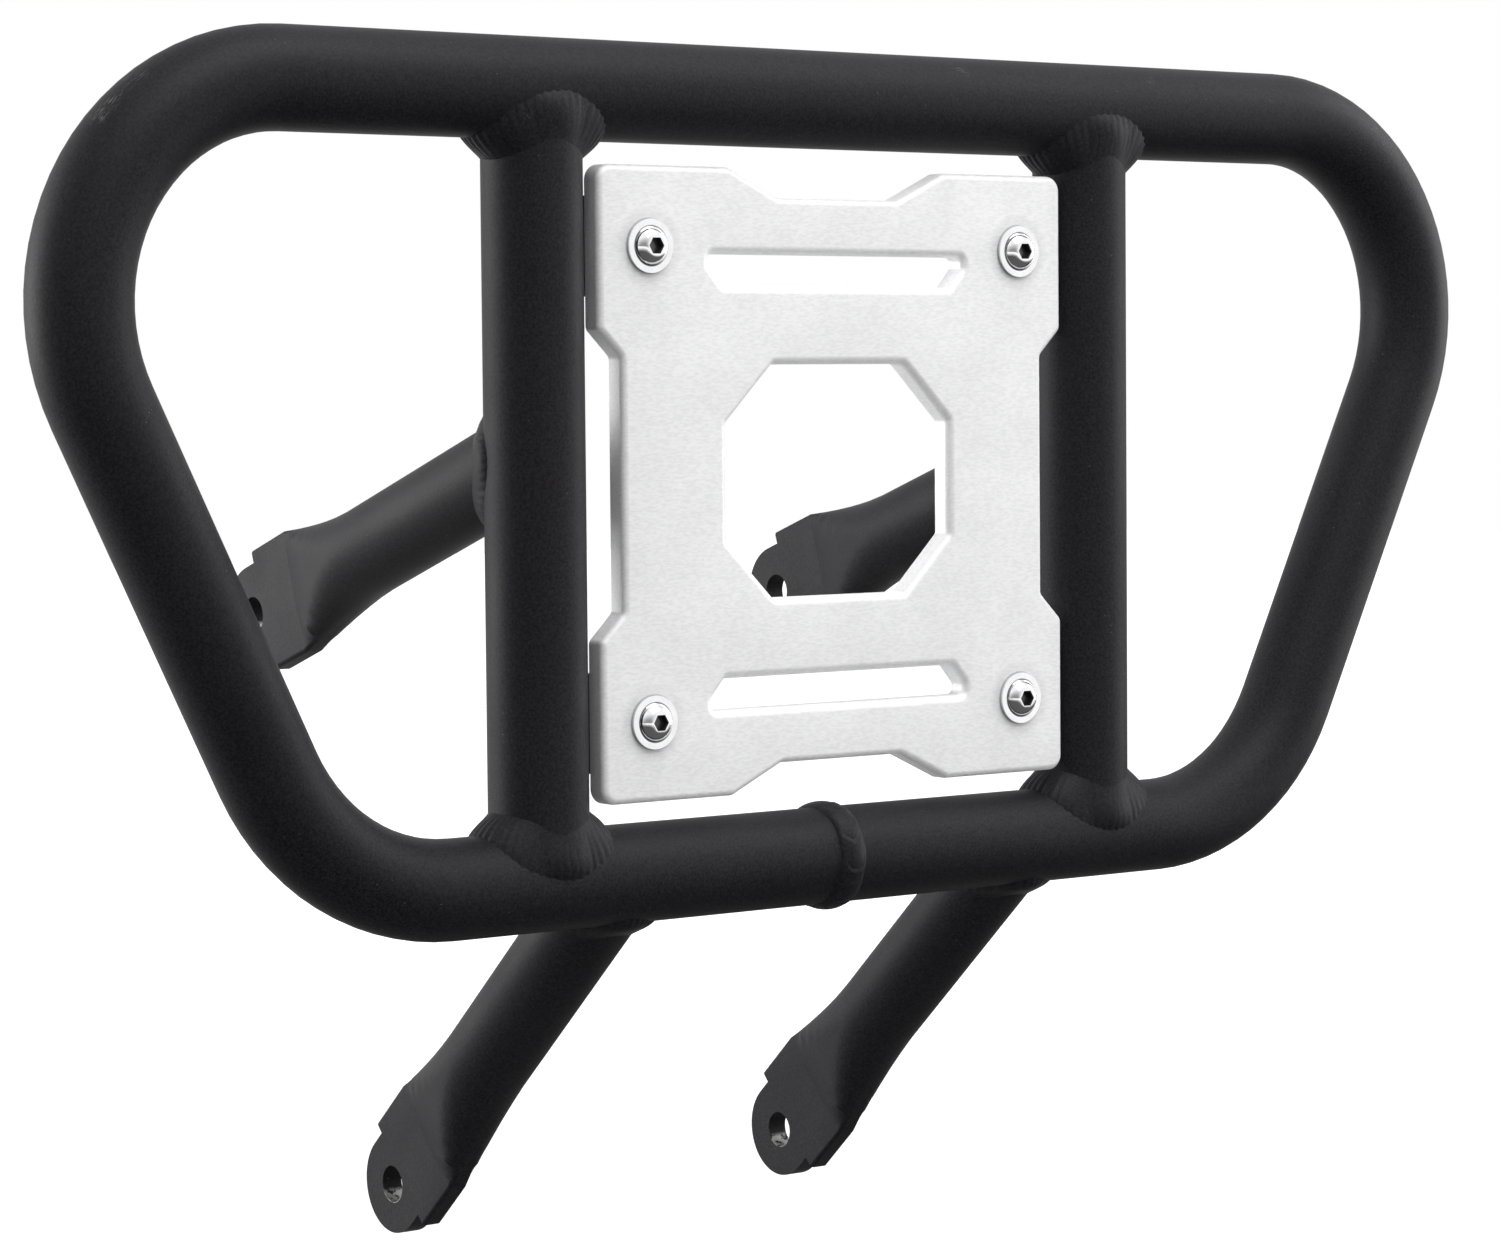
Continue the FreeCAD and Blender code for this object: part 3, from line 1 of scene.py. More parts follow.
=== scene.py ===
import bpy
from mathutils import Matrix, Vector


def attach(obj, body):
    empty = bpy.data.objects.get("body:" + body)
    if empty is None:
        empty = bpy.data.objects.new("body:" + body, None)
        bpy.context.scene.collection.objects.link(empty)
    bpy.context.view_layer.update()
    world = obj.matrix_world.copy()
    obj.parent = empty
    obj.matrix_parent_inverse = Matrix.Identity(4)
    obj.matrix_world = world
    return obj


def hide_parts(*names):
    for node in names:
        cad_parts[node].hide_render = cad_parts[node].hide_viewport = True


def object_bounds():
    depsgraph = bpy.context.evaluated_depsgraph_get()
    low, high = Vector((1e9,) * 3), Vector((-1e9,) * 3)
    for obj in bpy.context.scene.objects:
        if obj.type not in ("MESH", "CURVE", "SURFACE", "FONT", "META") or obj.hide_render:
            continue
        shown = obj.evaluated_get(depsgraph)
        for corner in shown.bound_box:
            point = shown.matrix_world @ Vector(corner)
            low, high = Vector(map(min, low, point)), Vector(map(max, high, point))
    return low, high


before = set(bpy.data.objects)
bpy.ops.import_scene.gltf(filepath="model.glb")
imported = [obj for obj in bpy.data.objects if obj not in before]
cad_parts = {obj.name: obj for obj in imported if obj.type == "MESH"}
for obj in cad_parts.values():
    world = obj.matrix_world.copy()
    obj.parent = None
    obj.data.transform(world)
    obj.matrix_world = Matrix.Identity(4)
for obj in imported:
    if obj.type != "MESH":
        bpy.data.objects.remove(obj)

import math

import bmesh
import bpy
from mathutils import Matrix, Vector, noise

# Front bumper of a quad bike: looks. Metres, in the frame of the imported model.

cad_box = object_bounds()

# Frame of tubes: the middle of the hoop's bottom run, the tubes' radii, the rise between the
# hoop's two runs, where the uprights and the legs start, and how steeply the legs drop
HOOP = Vector((0.0, -0.103564, 0.093907))
TUBE = 0.0127
LEG = 0.0119
RISE = 0.197
UPRIGHT_X = 0.090
LOWER_LEG_X = 0.0665
UPPER_LEG_HEIGHT = 0.107
UPPER_LEG_DROP = math.radians(18.8)
LOWER_LEG_DROP = math.radians(42.2)
SIDES = (("left", -1), ("right", 1))
# The axes of the bolt holes in the legs, as Y and Z, and the holes' radius
BOLT_AXES = ((0.0, 0.0), (0.029913, 0.155467))
BOLT_HOLE = 0.005

# Plate screws: places from the plate's middle, the top of the dome, the radii of the flange
# and the dome, and the socket's edge
PLATE_MIDDLE = HOOP.z + RISE / 2
SCREW_X = 0.0605
SCREW_Z = 0.05975
SCREW_TOP = HOOP.y - 0.0118
SCREW_FLANGE = 0.0068
SCREW_DOME = 0.0050
SOCKET_EDGE = (0.00233, 0.00240)

# Colours: dark and light grains of each finish, then single marks, and last the painted shade
# of the screws' sockets
COAT_GRAINS = ((0.0064, 0.0059, 0.0072), (0.0176, 0.0163, 0.0197))
PLATE_GRAINS = ((0.76, 0.76, 0.77), (0.84, 0.84, 0.845))
STEEL_GRAINS = ((0.88, 0.88, 0.89), (0.97, 0.97, 0.98))
ZINC_GRAINS = ((0.46, 0.46, 0.45), (0.62, 0.62, 0.60))
DUST = (0.20, 0.20, 0.21)
RUBBED = (0.17, 0.17, 0.165)
BARE_METAL = (0.30, 0.30, 0.29)
SOCKET_PAINTED_SHADE = (0.10, 0.10, 0.10)

# Rubbed places on the hoop: middle, radius, how pale, and how the scratches slope in degrees
WEAR = (
    ((-0.2116, -0.1068, 0.2804), 0.0014, 0.75, -48),
    ((-0.2090, -0.1070, 0.2832), 0.0012, 0.60, -46),
    ((-0.2066, -0.1073, 0.2855), 0.0006, 0.90, -44),
    ((-0.2026, -0.1068, 0.2891), 0.0018, 0.35, -36),
    ((0.0403, -0.1128, 0.2996), 0.0014, 0.25, 0),
    ((0.1077, -0.1130, 0.2994), 0.0008, 0.30, 60),
    ((0.1572, -0.1142, 0.1016), 0.0014, 0.25, 20),
)

# Shading: edges over these angles, in degrees, stay sharp on the pressed legs and on the rest,
# and points closer than the seam are joined
PRESSED = ("upper_leg_left", "upper_leg_right", "lower_leg_left", "lower_leg_right")
PRESSED_EDGE = 18
EDGE = 30
SEAM = 0.00001

# Ring welds: points round and across a bead, its ripples, the height of its crown over the
# corner of the tubes and the least over the line of its toes, how far the crown leans to the
# carrying tube, and how deep the toes sit in the tubes, as a share of the radius
BEAD_STATIONS = 480
BEAD_STEPS = 18
RIPPLES = 46
RIPPLE_HEIGHT = 0.00010
BEAD_CROWN = 0.0012
LEAST_CROWN = 0.0004
CROWN_LEAN = 0.65
TOE_SINK = 0.015
# How much a toe wanders, and its small lobes, as shares of the bead's leg
TOE_WANDER = 0.10
TOE_LOBES = 0.035
# The turn to either side, in radians, from which a bead's heading is read
HEADING_TURN = 0.02
# How far the saddle is eased; the legs on the carrying tube at the peaks, at the sides and
# the extra between; and the legs on the joining tube at the peaks and at the sides
UPRIGHT_BEAD = (0.0064, (0.0048, 0.0058, 0.0013), (0.0076, 0.0038))
LEG_BEAD = (0.0045, (0.0040, 0.0044, 0.0), (0.0046, 0.0046))
# Each bead has a seed of its own for its uneven shape
FIRST_SEED = 1.0
SEED_STEP = 1.3

# Butt weld of the hoop
BUTT_HALF_WIDTH = 0.0041
BUTT_CROWN = 0.0016
BUTT_SINK = 0.0001
BUTT_SWAY = 0.0006
BUTT_RIPPLES = 15
BUTT_RIPPLE_HEIGHT = 0.00045
BUTT_SEED = 9.0

# Camera: yaw, pitch and roll in degrees, place from the hoop's bottom run, focal length and
# image width in pixels, the sensor's width in millimetres, and the nearest view
CAMERA_ANGLES = (36.973, -3.255, -0.488)
CAMERA_PLACE = (-0.68018, -0.87223, 0.12389)
FOCAL_PIXELS = 4234.9
IMAGE_WIDTH = 1500
SENSOR = 36
CLIP_START = 0.05

# Floor: half its side, its gap under the part, and its shades as seen and as mirrored
FLOOR_SIZE = 6.0
FLOOR_GAP = 0.10
FLOOR_SHADE = (0.55, 0.55, 0.55)
FLOOR_MIRRORED = (0.07, 0.07, 0.07)
# Its glow grows between two distances from the origin, for the camera and for reflections,
# and in reflections also between two places in Y behind the part
GLOW_SEEN = (0.5, 1.4)
GLOW_MIRRORED = (0.8, 2.0)
GLOW_BEHIND = (-0.1, 0.5)

# World: its even light, and the darker side of the room in reflections, with the cosines
# between which it darkens and how dark it gets
AMBIENT = 0.30
DARK_SIDE = (-0.55, -0.70, -0.45)
DARK_EDGE = (0.30, 0.90)
DARK_LEVEL = 0.14
# Lamps: name, place from the middle of the part, width, height, power in watts
LAMPS = (
    ("top", (0.25, -0.95, 1.75), 1.6, 1.5, 45),
    ("left", (-1.35, 1.42, 0.0), 1.2, 1.6, 46),
    ("right", (1.75, -0.35, 0.35), 1.0, 1.6, 19),
)


# Camera

def make_camera():
    """The camera at the photograph's angle, for an image of 1500 x 1247."""
    yaw, pitch, roll = (math.radians(angle) for angle in CAMERA_ANGLES)
    forward = Vector((math.sin(yaw) * math.cos(pitch), math.cos(yaw) * math.cos(pitch),
                      math.sin(pitch)))
    level = Vector((math.cos(yaw), -math.sin(yaw), 0))
    above = level.cross(forward)
    right = level * math.cos(roll) + above * math.sin(roll)
    up = above * math.cos(roll) - level * math.sin(roll)
    camera = bpy.data.objects.new("camera", bpy.data.cameras.new("camera"))
    camera.data.sensor_width = SENSOR
    camera.data.lens = SENSOR * FOCAL_PIXELS / IMAGE_WIDTH
    camera.data.clip_start = CLIP_START
    place = HOOP + Vector(CAMERA_PLACE)
    camera.matrix_world = Matrix((
        (right.x, up.x, -forward.x, place.x),
        (right.y, up.y, -forward.y, place.y),
        (right.z, up.z, -forward.z, place.z),
        (0, 0, 0, 1),
    ))
    bpy.context.collection.objects.link(camera)
    bpy.context.scene.camera = camera
    bpy.context.scene.view_settings.view_transform = "Standard"


# Materials

class Shader:
    """A material with a principled shader, and short calls for its other nodes."""

    def __init__(self, name):
        self.material = bpy.data.materials.new(name)
        self.material.use_nodes = True
        self.tree = self.material.node_tree
        self.tree.nodes.clear()
        output = self.node("ShaderNodeOutputMaterial")
        self.body = self.node("ShaderNodeBsdfPrincipled")
        self.link(self.body.outputs["BSDF"], output.inputs["Surface"])
        self.place = self.node("ShaderNodeTexCoord").outputs["Object"]

    def node(self, kind, **values):
        """A new node with its settings."""
        made = self.tree.nodes.new(kind)
        for key, value in values.items():
            setattr(made, key, value)
        return made

    def link(self, start, end):
        self.tree.links.new(start, end)

    def set(self, **values):
        """Values that are the same all over the surface, on the shader's own sockets."""
        for key, value in values.items():
            self.body.inputs[key.replace("_", " ")].default_value = value

    def give(self, socket, value):
        """A value from other nodes, to one of the shader's sockets."""
        self.link(value, self.body.inputs[socket])

    def stretched(self, scale):
        """Places for a texture, scaled along X, Y and Z."""
        mapping = self.node("ShaderNodeMapping")
        mapping.inputs["Scale"].default_value = scale
        self.link(self.place, mapping.inputs["Vector"])
        return mapping.outputs["Vector"]

    def noise(self, scale, detail=2.0, roughness=0.5, place=None):
        """Noise from 0 to 1, at the piece's own places or at given ones."""
        made = self.node("ShaderNodeTexNoise")
        made.inputs["Scale"].default_value = scale
        made.inputs["Detail"].default_value = detail
        made.inputs["Roughness"].default_value = roughness
        self.link(place or self.place, made.inputs["Vector"])
        return made.outputs["Fac"]

    def cells(self, scale):
        """Distance to the middle of the nearest cell."""
        made = self.node("ShaderNodeTexVoronoi")
        made.inputs["Scale"].default_value = scale
        self.link(self.place, made.inputs["Vector"])
        return made.outputs["Distance"]

    def ramp(self, value, low, high, low_colour, high_colour):
        """A colour for each value, between two colours; a number stands for a grey."""
        made = self.node("ShaderNodeValToRGB")
        stops = ((low, low_colour), (high, high_colour))
        for element, (position, colour) in zip(made.color_ramp.elements, stops):
            element.position = position
            shade = colour if isinstance(colour, tuple) else (colour, colour, colour)
            element.color = (*shade, 1)
        self.link(value, made.inputs["Fac"])
        return made.outputs["Color"]

    def spread(self, value, low, high, new_low, new_high):
        """A value spread from one range to another, and held at its ends."""
        made = self.node("ShaderNodeMapRange")
        for key, number in (("From Min", low), ("From Max", high),
                            ("To Min", new_low), ("To Max", new_high)):
            made.inputs[key].default_value = number
        self.link(value, made.inputs["Value"])
        return made.outputs["Result"]

    def math(self, operation, first, second=0.0):
        """Two values, or numbers, put together."""
        made = self.node("ShaderNodeMath", operation=operation)
        for index, value in enumerate((first, second)):
            if isinstance(value, (int, float)):
                made.inputs[index].default_value = value
            else:
                self.link(value, made.inputs[index])
        return made.outputs["Value"]

    def mix(self, factor, first, second, blend="MIX"):
        """Two colours mixed by a factor; a tuple is a fixed colour."""
        made = self.node("ShaderNodeMix", data_type="RGBA", blend_type=blend)
        for key, kind, value in (("Factor", "VALUE", factor), ("A", "RGBA", first),
                                 ("B", "RGBA", second)):
            socket = [item for item in made.inputs if item.name == key and item.type == kind][0]
            if isinstance(value, (int, float)):
                socket.default_value = value
            elif isinstance(value, tuple):
                socket.default_value = (*value, 1)
            else:
                self.link(value, socket)
        return [item for item in made.outputs if item.type == "RGBA"][0]

    def near(self, point, radius, soft):
        """1 within a radius of a point, falling to 0 over a soft edge."""
        gap = self.node("ShaderNodeVectorMath", operation="DISTANCE")
        self.link(self.place, gap.inputs[0])
        gap.inputs[1].default_value = point
        return self.spread(gap.outputs["Value"], radius, radius + soft, 1.0, 0.0)

    def axis(self, name):
        """The place along X, Y or Z."""
        parts = self.node("ShaderNodeSeparateXYZ")
        self.link(self.place, parts.inputs["Vector"])
        return parts.outputs[name]

    def length(self, first, second):
        """The distance that two steps at right angles make together."""
        both = self.math("ADD", self.math("MULTIPLY", first, first),
                         self.math("MULTIPLY", second, second))
        return self.math("SQRT", both)

    def from_screws(self):
        """Distance from the axis of the nearest of the plate's four screws."""
        across = self.math("ABSOLUTE", self.axis("X"))
        up = self.math("ABSOLUTE", self.math("SUBTRACT", self.axis("Z"), PLATE_MIDDLE))
        return self.length(self.math("SUBTRACT", across, SCREW_X),
                           self.math("SUBTRACT", up, SCREW_Z))

    def bump(self, height, distance, strength):
        """A fine relief in the shader's normal."""
        made = self.node("ShaderNodeBump")
        made.inputs["Distance"].default_value = distance
        made.inputs["Strength"].default_value = strength
        self.link(height, made.inputs["Height"])
        self.give("Normal", made.outputs["Normal"])


def scratches(shader, slope):
    """Fine pale scratches along one direction of the hoop's plane, as a mask."""
    turned = shader.node("ShaderNodeMapping", vector_type="TEXTURE")
    turned.inputs["Rotation"].default_value = (0, math.radians(slope), 0)
    turned.inputs["Scale"].default_value = (5.0, 1.0, 1.0)
    shader.link(shader.place, turned.inputs["Vector"])
    lines = shader.noise(1500, 3.0, 0.65, turned.outputs["Vector"])
    return shader.spread(lines, 0.52, 0.66, 0.0, 1.0)


def bolt_hole_walls(shader):
    """The lower inner walls of the legs' bolt holes, where bolts chip the coat, as a mask."""
    wall = 0.0
    for back, height in BOLT_AXES:
        up = shader.math("SUBTRACT", shader.axis("Z"), height)
        away = shader.length(shader.math("SUBTRACT", shader.axis("Y"), back), up)
        inside = shader.spread(away, BOLT_HOLE + 0.00005, BOLT_HOLE + 0.0002, 1.0, 0.0)
        low = shader.spread(up, -0.0030, -0.0018, 1.0, 0.0)
        wall = shader.math("MAXIMUM", wall, shader.math("MULTIPLY", inside, low))
    return wall


def powder_coat():
    """Satin black powder coat: a fine sandy grain, faint clouding, dust and a few rubs."""
    shader = Shader("powder_coat")
    grain = shader.noise(1500, 3.0, 0.6)
    clouds = shader.noise(26, 3.0, 0.55)
    base = shader.ramp(grain, 0.36, 0.66, *COAT_GRAINS)
    base = shader.mix(1.0, base, shader.ramp(clouds, 0.3, 0.7, 0.90, 1.06), "MULTIPLY")
    specks = shader.spread(shader.cells(520), 0.045, 0.085, 1.0, 0.0)
    rare = shader.spread(shader.noise(90, 1.0), 0.60, 0.66, 0.0, 0.55)
    base = shader.mix(shader.math("MULTIPLY", specks, rare), base, DUST)
    for middle, radius, paleness, slope in WEAR:
        rubbed = shader.math("MULTIPLY", shader.near(middle, radius, radius * 1.6),
                             scratches(shader, slope))
        base = shader.mix(shader.math("MULTIPLY", rubbed, paleness), base, RUBBED)
    chipped = shader.spread(shader.noise(700, 2.0), 0.38, 0.50, 0.0, 1.0)
    bare = shader.math("MULTIPLY", bolt_hole_walls(shader), chipped)
    shader.give("Base Color", shader.mix(bare, base, BARE_METAL))
    shader.give("Roughness", shader.spread(clouds, 0.3, 0.7, 0.50, 0.58))
    shader.give("Metallic", shader.math("MULTIPLY", bare, 0.8))
    shader.set(Specular_IOR_Level=0.13)
    shader.bump(shader.noise(1800, 3.0, 0.6), 0.00006, 0.8)
    return shader.material


def plate_finish():
    """Light grey satin plate: a fine mottle of short level strokes, with painted shade round
    the screws and a painted shadow line at their flanges.
    """
    shader = Shader("plate")
    strokes = shader.noise(1100, 3.0, 0.6, shader.stretched((0.5, 1.0, 1.6)))
    patches = shader.noise(60, 2.0, 0.5)
    base = shader.ramp(strokes, 0.38, 0.60, *PLATE_GRAINS)
    base = shader.mix(1.0, base, shader.ramp(patches, 0.3, 0.7, 0.97, 1.02), "MULTIPLY")
    away = shader.from_screws()
    # Painted shade: a soft darker halo round each screw, and a narrow painted shadow (rim) just
    # outside each flange
    painted_shade_halo = shader.spread(away, SCREW_FLANGE - 0.0002, SCREW_FLANGE + 0.0037, 0.82, 1.0)
    rim = shader.spread(away, SCREW_FLANGE, SCREW_FLANGE + 0.0005, 0.40, 1.0)
    base = shader.mix(1.0, base, shader.math("MULTIPLY", painted_shade_halo, rim), "MULTIPLY")
    shader.give("Base Color", base)
    shader.give("Roughness", shader.spread(strokes, 0.3, 0.7, 0.42, 0.58))
    shader.set(Metallic=0.15)
    shader.bump(strokes, 0.00004, 0.6)
    return shader.material


def bright_steel():
    """Bright plated steel: a mirror-like dome, a softer flange, painted shade in the socket and
    a thin painted shade ring at the dome's foot.
    """
    shader = Shader("bright_steel")
    smear = shader.noise(240, 3.0, 0.6)
    away = shader.from_screws()
    base = shader.ramp(smear, 0.3, 0.7, *STEEL_GRAINS)
    # Painted shade: the hollow of each hex socket, below the head's top, is coloured dark
    deep = shader.spread(shader.axis("Y"), SCREW_TOP + 0.0001, SCREW_TOP + 0.0008, 0.0, 1.0)
    socket = shader.math("MULTIPLY", deep, shader.spread(away, *SOCKET_EDGE, 1.0, 0.0))
    base = shader.mix(socket, base, SOCKET_PAINTED_SHADE)
    # Painted shade: a thin darker ring in the crease where the dome meets the flange
    from_dome = shader.math("ABSOLUTE", shader.math("SUBTRACT", away, SCREW_DOME))
    foot = shader.spread(from_dome, 0.0001, 0.0003, 0.25, 1.0)
    shader.give("Base Color", shader.mix(1.0, base, foot, "MULTIPLY"))
    flange = shader.spread(away, SCREW_DOME - 0.0001, SCREW_DOME + 0.0001, 0.04, 0.20)
    rough = shader.math("MAXIMUM", flange, shader.math("MULTIPLY", socket, 0.3))
    shader.give("Roughness", rough)
    shader.set(Metallic=1.0)
    shader.bump(smear, 0.00001, 0.4)
    return shader.material


def zinc():
    """Dull zinc for the nuts behind the plate."""
    shader = Shader("zinc")
    smear = shader.noise(500, 3.0, 0.6)
    shader.give("Base Color", shader.ramp(smear, 0.3, 0.7, *ZINC_GRAINS))
    shader.give("Roughness", shader.spread(smear, 0.3, 0.7, 0.28, 0.40))
    shader.set(Metallic=1.0)
    shader.bump(smear, 0.00003, 0.5)
    return shader.material


def smooth(piece, angle):
    """Smooth shading, also over the seams between faces, but for edges over the angle."""
    for polygon in piece.data.polygons:
        polygon.use_smooth = True
    weld = piece.modifiers.new("weld", "WELD")
    weld.merge_threshold = SEAM
    split = piece.modifiers.new("edges", "EDGE_SPLIT")
    split.split_angle = math.radians(angle)


# Weld beads

def add_bead(name, rows, material, node):
    """A bead over closed rows of points, in the place of its solid on the one body."""
    piece = bpy.data.objects.new(name, closed_strip(rows))
    bpy.context.collection.objects.link(piece)
    piece.data.materials.append(material)
    for polygon in piece.data.polygons:
        polygon.use_smooth = True
    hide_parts(node)
    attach(piece, "root")


def weld_corner(turn, foot, main, branch, branch_radius, ease):
    """Where the two tubes meet at one turn round the branch, with the peaks eased."""
    across = main.cross(branch).normalized()
    along = branch.cross(across)
    rim = (along * math.sin(turn) - across * math.cos(turn)) * branch_radius
    slant = branch - main * branch.dot(main)
    flat = rim - main * rim.dot(main)
    square = slant.dot(slant)
    lean = flat.dot(slant)
    rest = flat.dot(flat) - TUBE ** 2 - ease ** 2
    travel = (-lean + math.sqrt(lean ** 2 - square * rest)) / square
    return foot + rim + branch * travel, rim


def round_trip(angle):
    """A place on the unit circle, so that noise read there closes round the bead."""
    return Vector((math.cos(angle), math.sin(angle), 0))


def ripple(turns, count, across, height, seed):
    """Overlapping round ripples: turns from 0 to 1 round the bead, across from -1 to 1."""
    place = round_trip(2 * math.pi * turns) * 2.6
    wander = 0.55 * noise.noise(place + Vector((0, 0, seed)))
    phase = turns * count + 0.9 * across * across + wander
    number = math.floor(phase)
    part = phase - number
    swell = min(1.0, part / 0.3) * (1 - part) ** 0.55
    uneven = 0.75 + 0.6 * noise.noise(Vector((number % count * 1.37, seed, 5.1)))
    return height * uneven * (1 - abs(across) ** 3) * (swell - 0.45)


def liveliness(turns, seed):
    """How clear the ripples are round the bead: smooth stretches between ridged ones."""
    place = round_trip(2 * math.pi * turns) * 1.6
    drift = noise.noise(place + Vector((7.3, 0, seed * 2.1)))
    return max(0.20, min(1.25, 0.62 + 1.5 * drift))


def closed_strip(rows):
    """A mesh over rows of points, the last row joined to the first."""
    width = len(rows[0])
    faces = []
    for step in range(len(rows)):
        following = (step + 1) % len(rows)
        for index in range(width - 1):
            faces.append((step * width + index, following * width + index,
                          following * width + index + 1, step * width + index + 1))
    mesh = bpy.data.meshes.new("bead")
    mesh.from_pydata([point for row in rows for point in row], [], faces)
    body = bmesh.new()
    body.from_mesh(mesh)
    bmesh.ops.recalc_face_normals(body, faces=body.faces)
    body.to_mesh(mesh)
    body.free()
    return mesh


def ring_weld(node, foot, main, branch, radius, bead, seed, material):
    """A rippled bead round the joint of a branch tube with the main tube that carries it."""
    ease, main_legs, branch_legs = bead
    up = (branch - main * branch.dot(main)).normalized()
    beside = main.cross(up)
    rows = []
    for step in range(BEAD_STATIONS):
        turns = step / BEAD_STATIONS
        turn = 2 * math.pi * turns + math.pi
        corner, rim = weld_corner(turn, foot, main, branch, radius, ease)
        ahead = weld_corner(turn + HEADING_TURN, foot, main, branch, radius, ease)[0]
        behind = weld_corner(turn - HEADING_TURN, foot, main, branch, radius, ease)[0]
        heading = ahead - behind
        uneven = 1 + TOE_WANDER * noise.noise(round_trip(turn) * 2.2 + Vector((0, 0, seed)))
        lobes = 1 + TOE_LOBES * math.sin(2 * math.pi * (turns * RIPPLES))
        side = math.sin(turn) ** 2
        main_leg = main_legs[0] + (main_legs[1] - main_legs[0]) * side
        main_leg += main_legs[2] * math.sin(2 * turn) ** 2
        branch_leg = branch_legs[0] + (branch_legs[1] - branch_legs[0]) * side
        place = corner - foot
        distance = place.dot(main)
        arc = TUBE * math.atan2(place.dot(beside), place.dot(up))
        reach = 1 + main_leg * uneven * lobes / math.hypot(distance, arc)
        angle = arc * reach / TUBE
        shell = (up * math.cos(angle) + beside * math.sin(angle)) * TUBE
        main_toe = foot + main * distance * reach + shell * (1 - TOE_SINK)
        branch_toe = corner + branch * branch_leg * uneven - rim * TOE_SINK
        chord = branch_toe - main_toe
        outward = heading.cross(chord).normalized()
        if outward.dot(rim) + outward.dot(up) < 0:
            outward = -outward
        depth = (main_toe + chord * 0.5 - corner).dot(outward)
        bulge = max(LEAST_CROWN, BEAD_CROWN - depth)
        height = RIPPLE_HEIGHT * liveliness(turns, seed)
        row = []
        for index in range(BEAD_STEPS + 1):
            part = index / BEAD_STEPS
            across = 2 * part - 1
            rise = bulge * (1 - across * across) * (1 - CROWN_LEAN * across)
            rise += ripple(turns, RIPPLES, across, height, seed)
            row.append(main_toe + chord * part + outward * rise)
        rows.append(row)
    add_bead(node + "_bead", rows, material, node)


def butt_weld(material):
    """The rippled bead round the hoop's bottom run."""
    rows = []
    for step in range(BEAD_STATIONS):
        turns = step / BEAD_STATIONS
        turn = 2 * math.pi * turns + math.pi / 2
        sway = BUTT_SWAY * noise.noise(round_trip(turn) * 1.7 + Vector((0, 0, BUTT_SEED)))
        row = []
        for index in range(BEAD_STEPS + 1):
            across = 2 * index / BEAD_STEPS - 1
            crown = BUTT_CROWN * math.sqrt(max(0.0, 1 - across * across))
            crown += ripple(turns, BUTT_RIPPLES, across, BUTT_RIPPLE_HEIGHT, BUTT_SEED)
            radius = TUBE - BUTT_SINK + crown
            row.append(HOOP + Vector((across * BUTT_HALF_WIDTH + sway, radius * math.cos(turn),
                                      radius * math.sin(turn))))
        rows.append(row)
    add_bead("butt_weld_bead", rows, material, "butt_weld")


def make_welds(material):
    """The butt weld, and the ring welds of the uprights and the legs on both sides."""
    butt_weld(material)
    seed = FIRST_SEED
    for side, sign in SIDES:
        for end, level in (("lower", 0), ("upper", 1)):
            foot = HOOP + Vector((sign * UPRIGHT_X, 0, level * RISE))
            node = "upright_weld_{}_{}".format(end, side)
            ring_weld(node, foot, Vector((1, 0, 0)), Vector((0, 0, 1 - 2 * level)), TUBE,
                      UPRIGHT_BEAD, seed, material)
            seed += SEED_STEP
        places = (
            ("upper", HOOP + Vector((sign * UPRIGHT_X, 0, UPPER_LEG_HEIGHT)), Vector((0, 0, 1)),
             UPPER_LEG_DROP),
            ("lower", HOOP + Vector((sign * LOWER_LEG_X, 0, 0)), Vector((1, 0, 0)),
             LOWER_LEG_DROP),
        )
        for kind, foot, main, drop in places:
            branch = Vector((0, math.cos(drop), -math.sin(drop)))
            node = "{}_leg_weld_{}".format(kind, side)
            ring_weld(node, foot, main, branch, LEG, LEG_BEAD, seed, material)
            seed += SEED_STEP


# Stage

def make_floor():
    """A pale floor that shows white but keeps a soft shadow under the part."""
    size = FLOOR_SIZE
    low = cad_box[0][2] - FLOOR_GAP
    mesh = bpy.data.meshes.new("floor")
    mesh.from_pydata([(-size, -size, low), (size, -size, low), (size, size, low),
                      (-size, size, low)], [], [(0, 1, 2, 3)])
    floor = bpy.data.objects.new("floor", mesh)
    bpy.context.collection.objects.link(floor)
    paint = Shader("floor")
    rays = paint.node("ShaderNodeLightPath")
    paint.give("Base Color", paint.mix(rays.outputs["Is Glossy Ray"], FLOOR_SHADE,
                                       FLOOR_MIRRORED))
    distance = paint.node("ShaderNodeVectorMath", operation="LENGTH")
    paint.link(paint.place, distance.inputs[0])
    seen = paint.spread(distance.outputs["Value"], *GLOW_SEEN, 0.5, 1.0)
    seen = paint.math("MULTIPLY", rays.outputs["Is Camera Ray"], seen)
    far = paint.spread(distance.outputs["Value"], *GLOW_MIRRORED, 0.0, 1.0)
    behind = paint.spread(paint.axis("Y"), *GLOW_BEHIND, 0.0, 1.0)
    mirrored = paint.math("MULTIPLY", rays.outputs["Is Glossy Ray"],
                          paint.math("MAXIMUM", far, behind))
    paint.give("Emission Strength", paint.math("MAXIMUM", seen, mirrored))
    paint.set(Emission_Color=(1, 1, 1, 1), Roughness=0.9, Specular_IOR_Level=0.1)
    mesh.materials.append(paint.material)


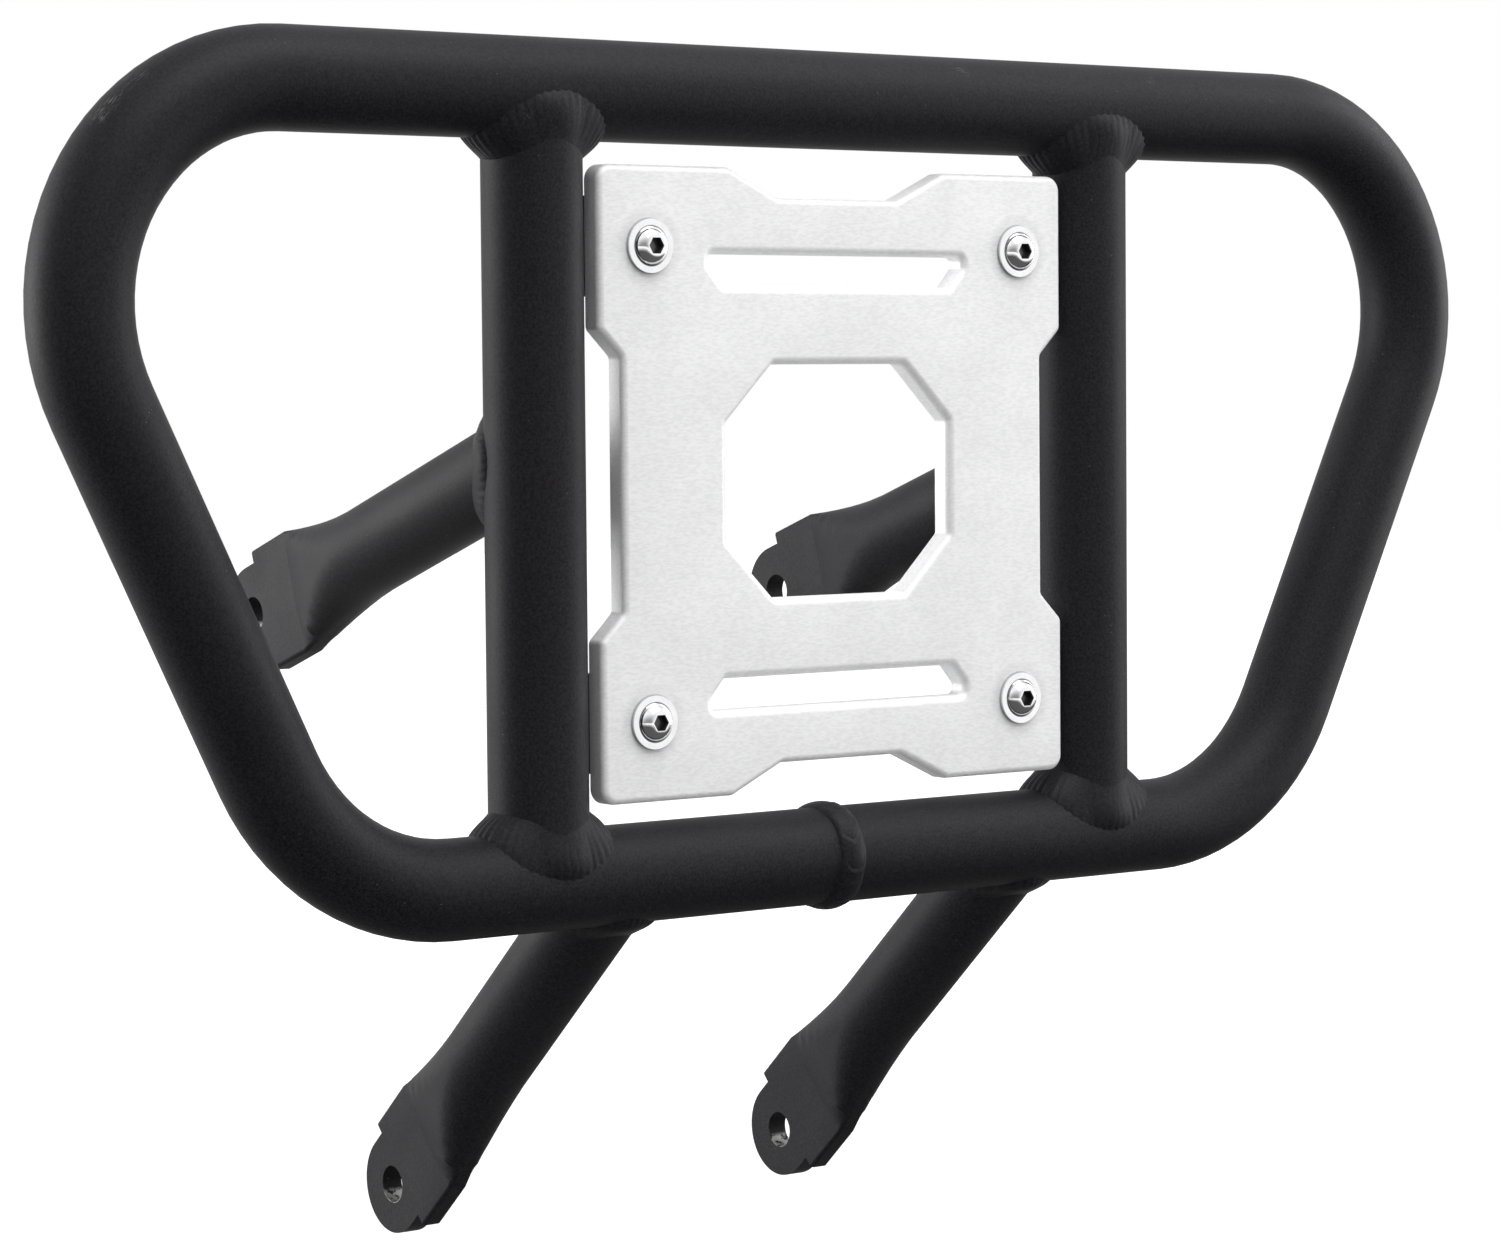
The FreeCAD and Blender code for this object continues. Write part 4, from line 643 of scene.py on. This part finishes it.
def make_world():
    """White to the camera and in most reflections, and a faint even light on the part."""
    world = bpy.data.worlds.new("studio")
    bpy.context.scene.world = world
    world.use_nodes = True
    tree = world.node_tree
    tree.nodes.clear()

    def node(kind, operation=None, *inputs):
        """A new node, its inputs in order: numbers, colours or other nodes' values."""
        made = tree.nodes.new(kind)
        if operation:
            made.operation = operation
        for socket, value in zip(made.inputs, inputs):
            if isinstance(value, (int, float, tuple)):
                socket.default_value = value
            else:
                tree.links.new(value, socket)
        return made

    rays = node("ShaderNodeLightPath")
    direction = node("ShaderNodeTexCoord").outputs["Generated"]
    facing = node("ShaderNodeVectorMath", "DOT_PRODUCT", direction, DARK_SIDE)
    reflected = node("ShaderNodeMapRange", None, facing.outputs["Value"], *DARK_EDGE,
                     1.0, DARK_LEVEL)
    mirrored = node("ShaderNodeMath", "MULTIPLY", reflected.outputs["Result"],
                    rays.outputs["Is Glossy Ray"])
    strength = node("ShaderNodeMath", "MAXIMUM", mirrored.outputs["Value"],
                    rays.outputs["Is Camera Ray"])
    strength = node("ShaderNodeMath", "MAXIMUM", strength.outputs["Value"], AMBIENT)
    light = node("ShaderNodeBackground", None, (1.0, 1.0, 1.0, 1.0), strength.outputs["Value"])
    output = node("ShaderNodeOutputWorld", None, light.outputs["Background"])
    output.is_active_output = True


def make_stage():
    """Floor, world and lamps, the lamps turned to the middle of the part."""
    make_floor()
    make_world()
    middle = HOOP + Vector((0, 0, RISE / 2))
    for name, place, width, height, power in LAMPS:
        data = bpy.data.lights.new(name, "AREA")
        data.shape = "RECTANGLE"
        data.size = width
        data.size_y = height
        data.energy = power
        lamp = bpy.data.objects.new(name, data)
        lamp.location = middle + Vector(place)
        lamp.rotation_euler = (-Vector(place)).to_track_quat("-Z", "Y").to_euler()
        bpy.context.collection.objects.link(lamp)


# The part: camera, finishes, welds and stage

make_camera()
coat = powder_coat()
finishes = {"front_plate": plate_finish(), "plate_screws": bright_steel(), "plate_nuts": zinc()}
for name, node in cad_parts.items():
    node.data.materials.clear()
    node.data.materials.append(finishes.get(name, coat))
    smooth(node, PRESSED_EDGE if name in PRESSED else EDGE)
make_welds(coat)
make_stage()
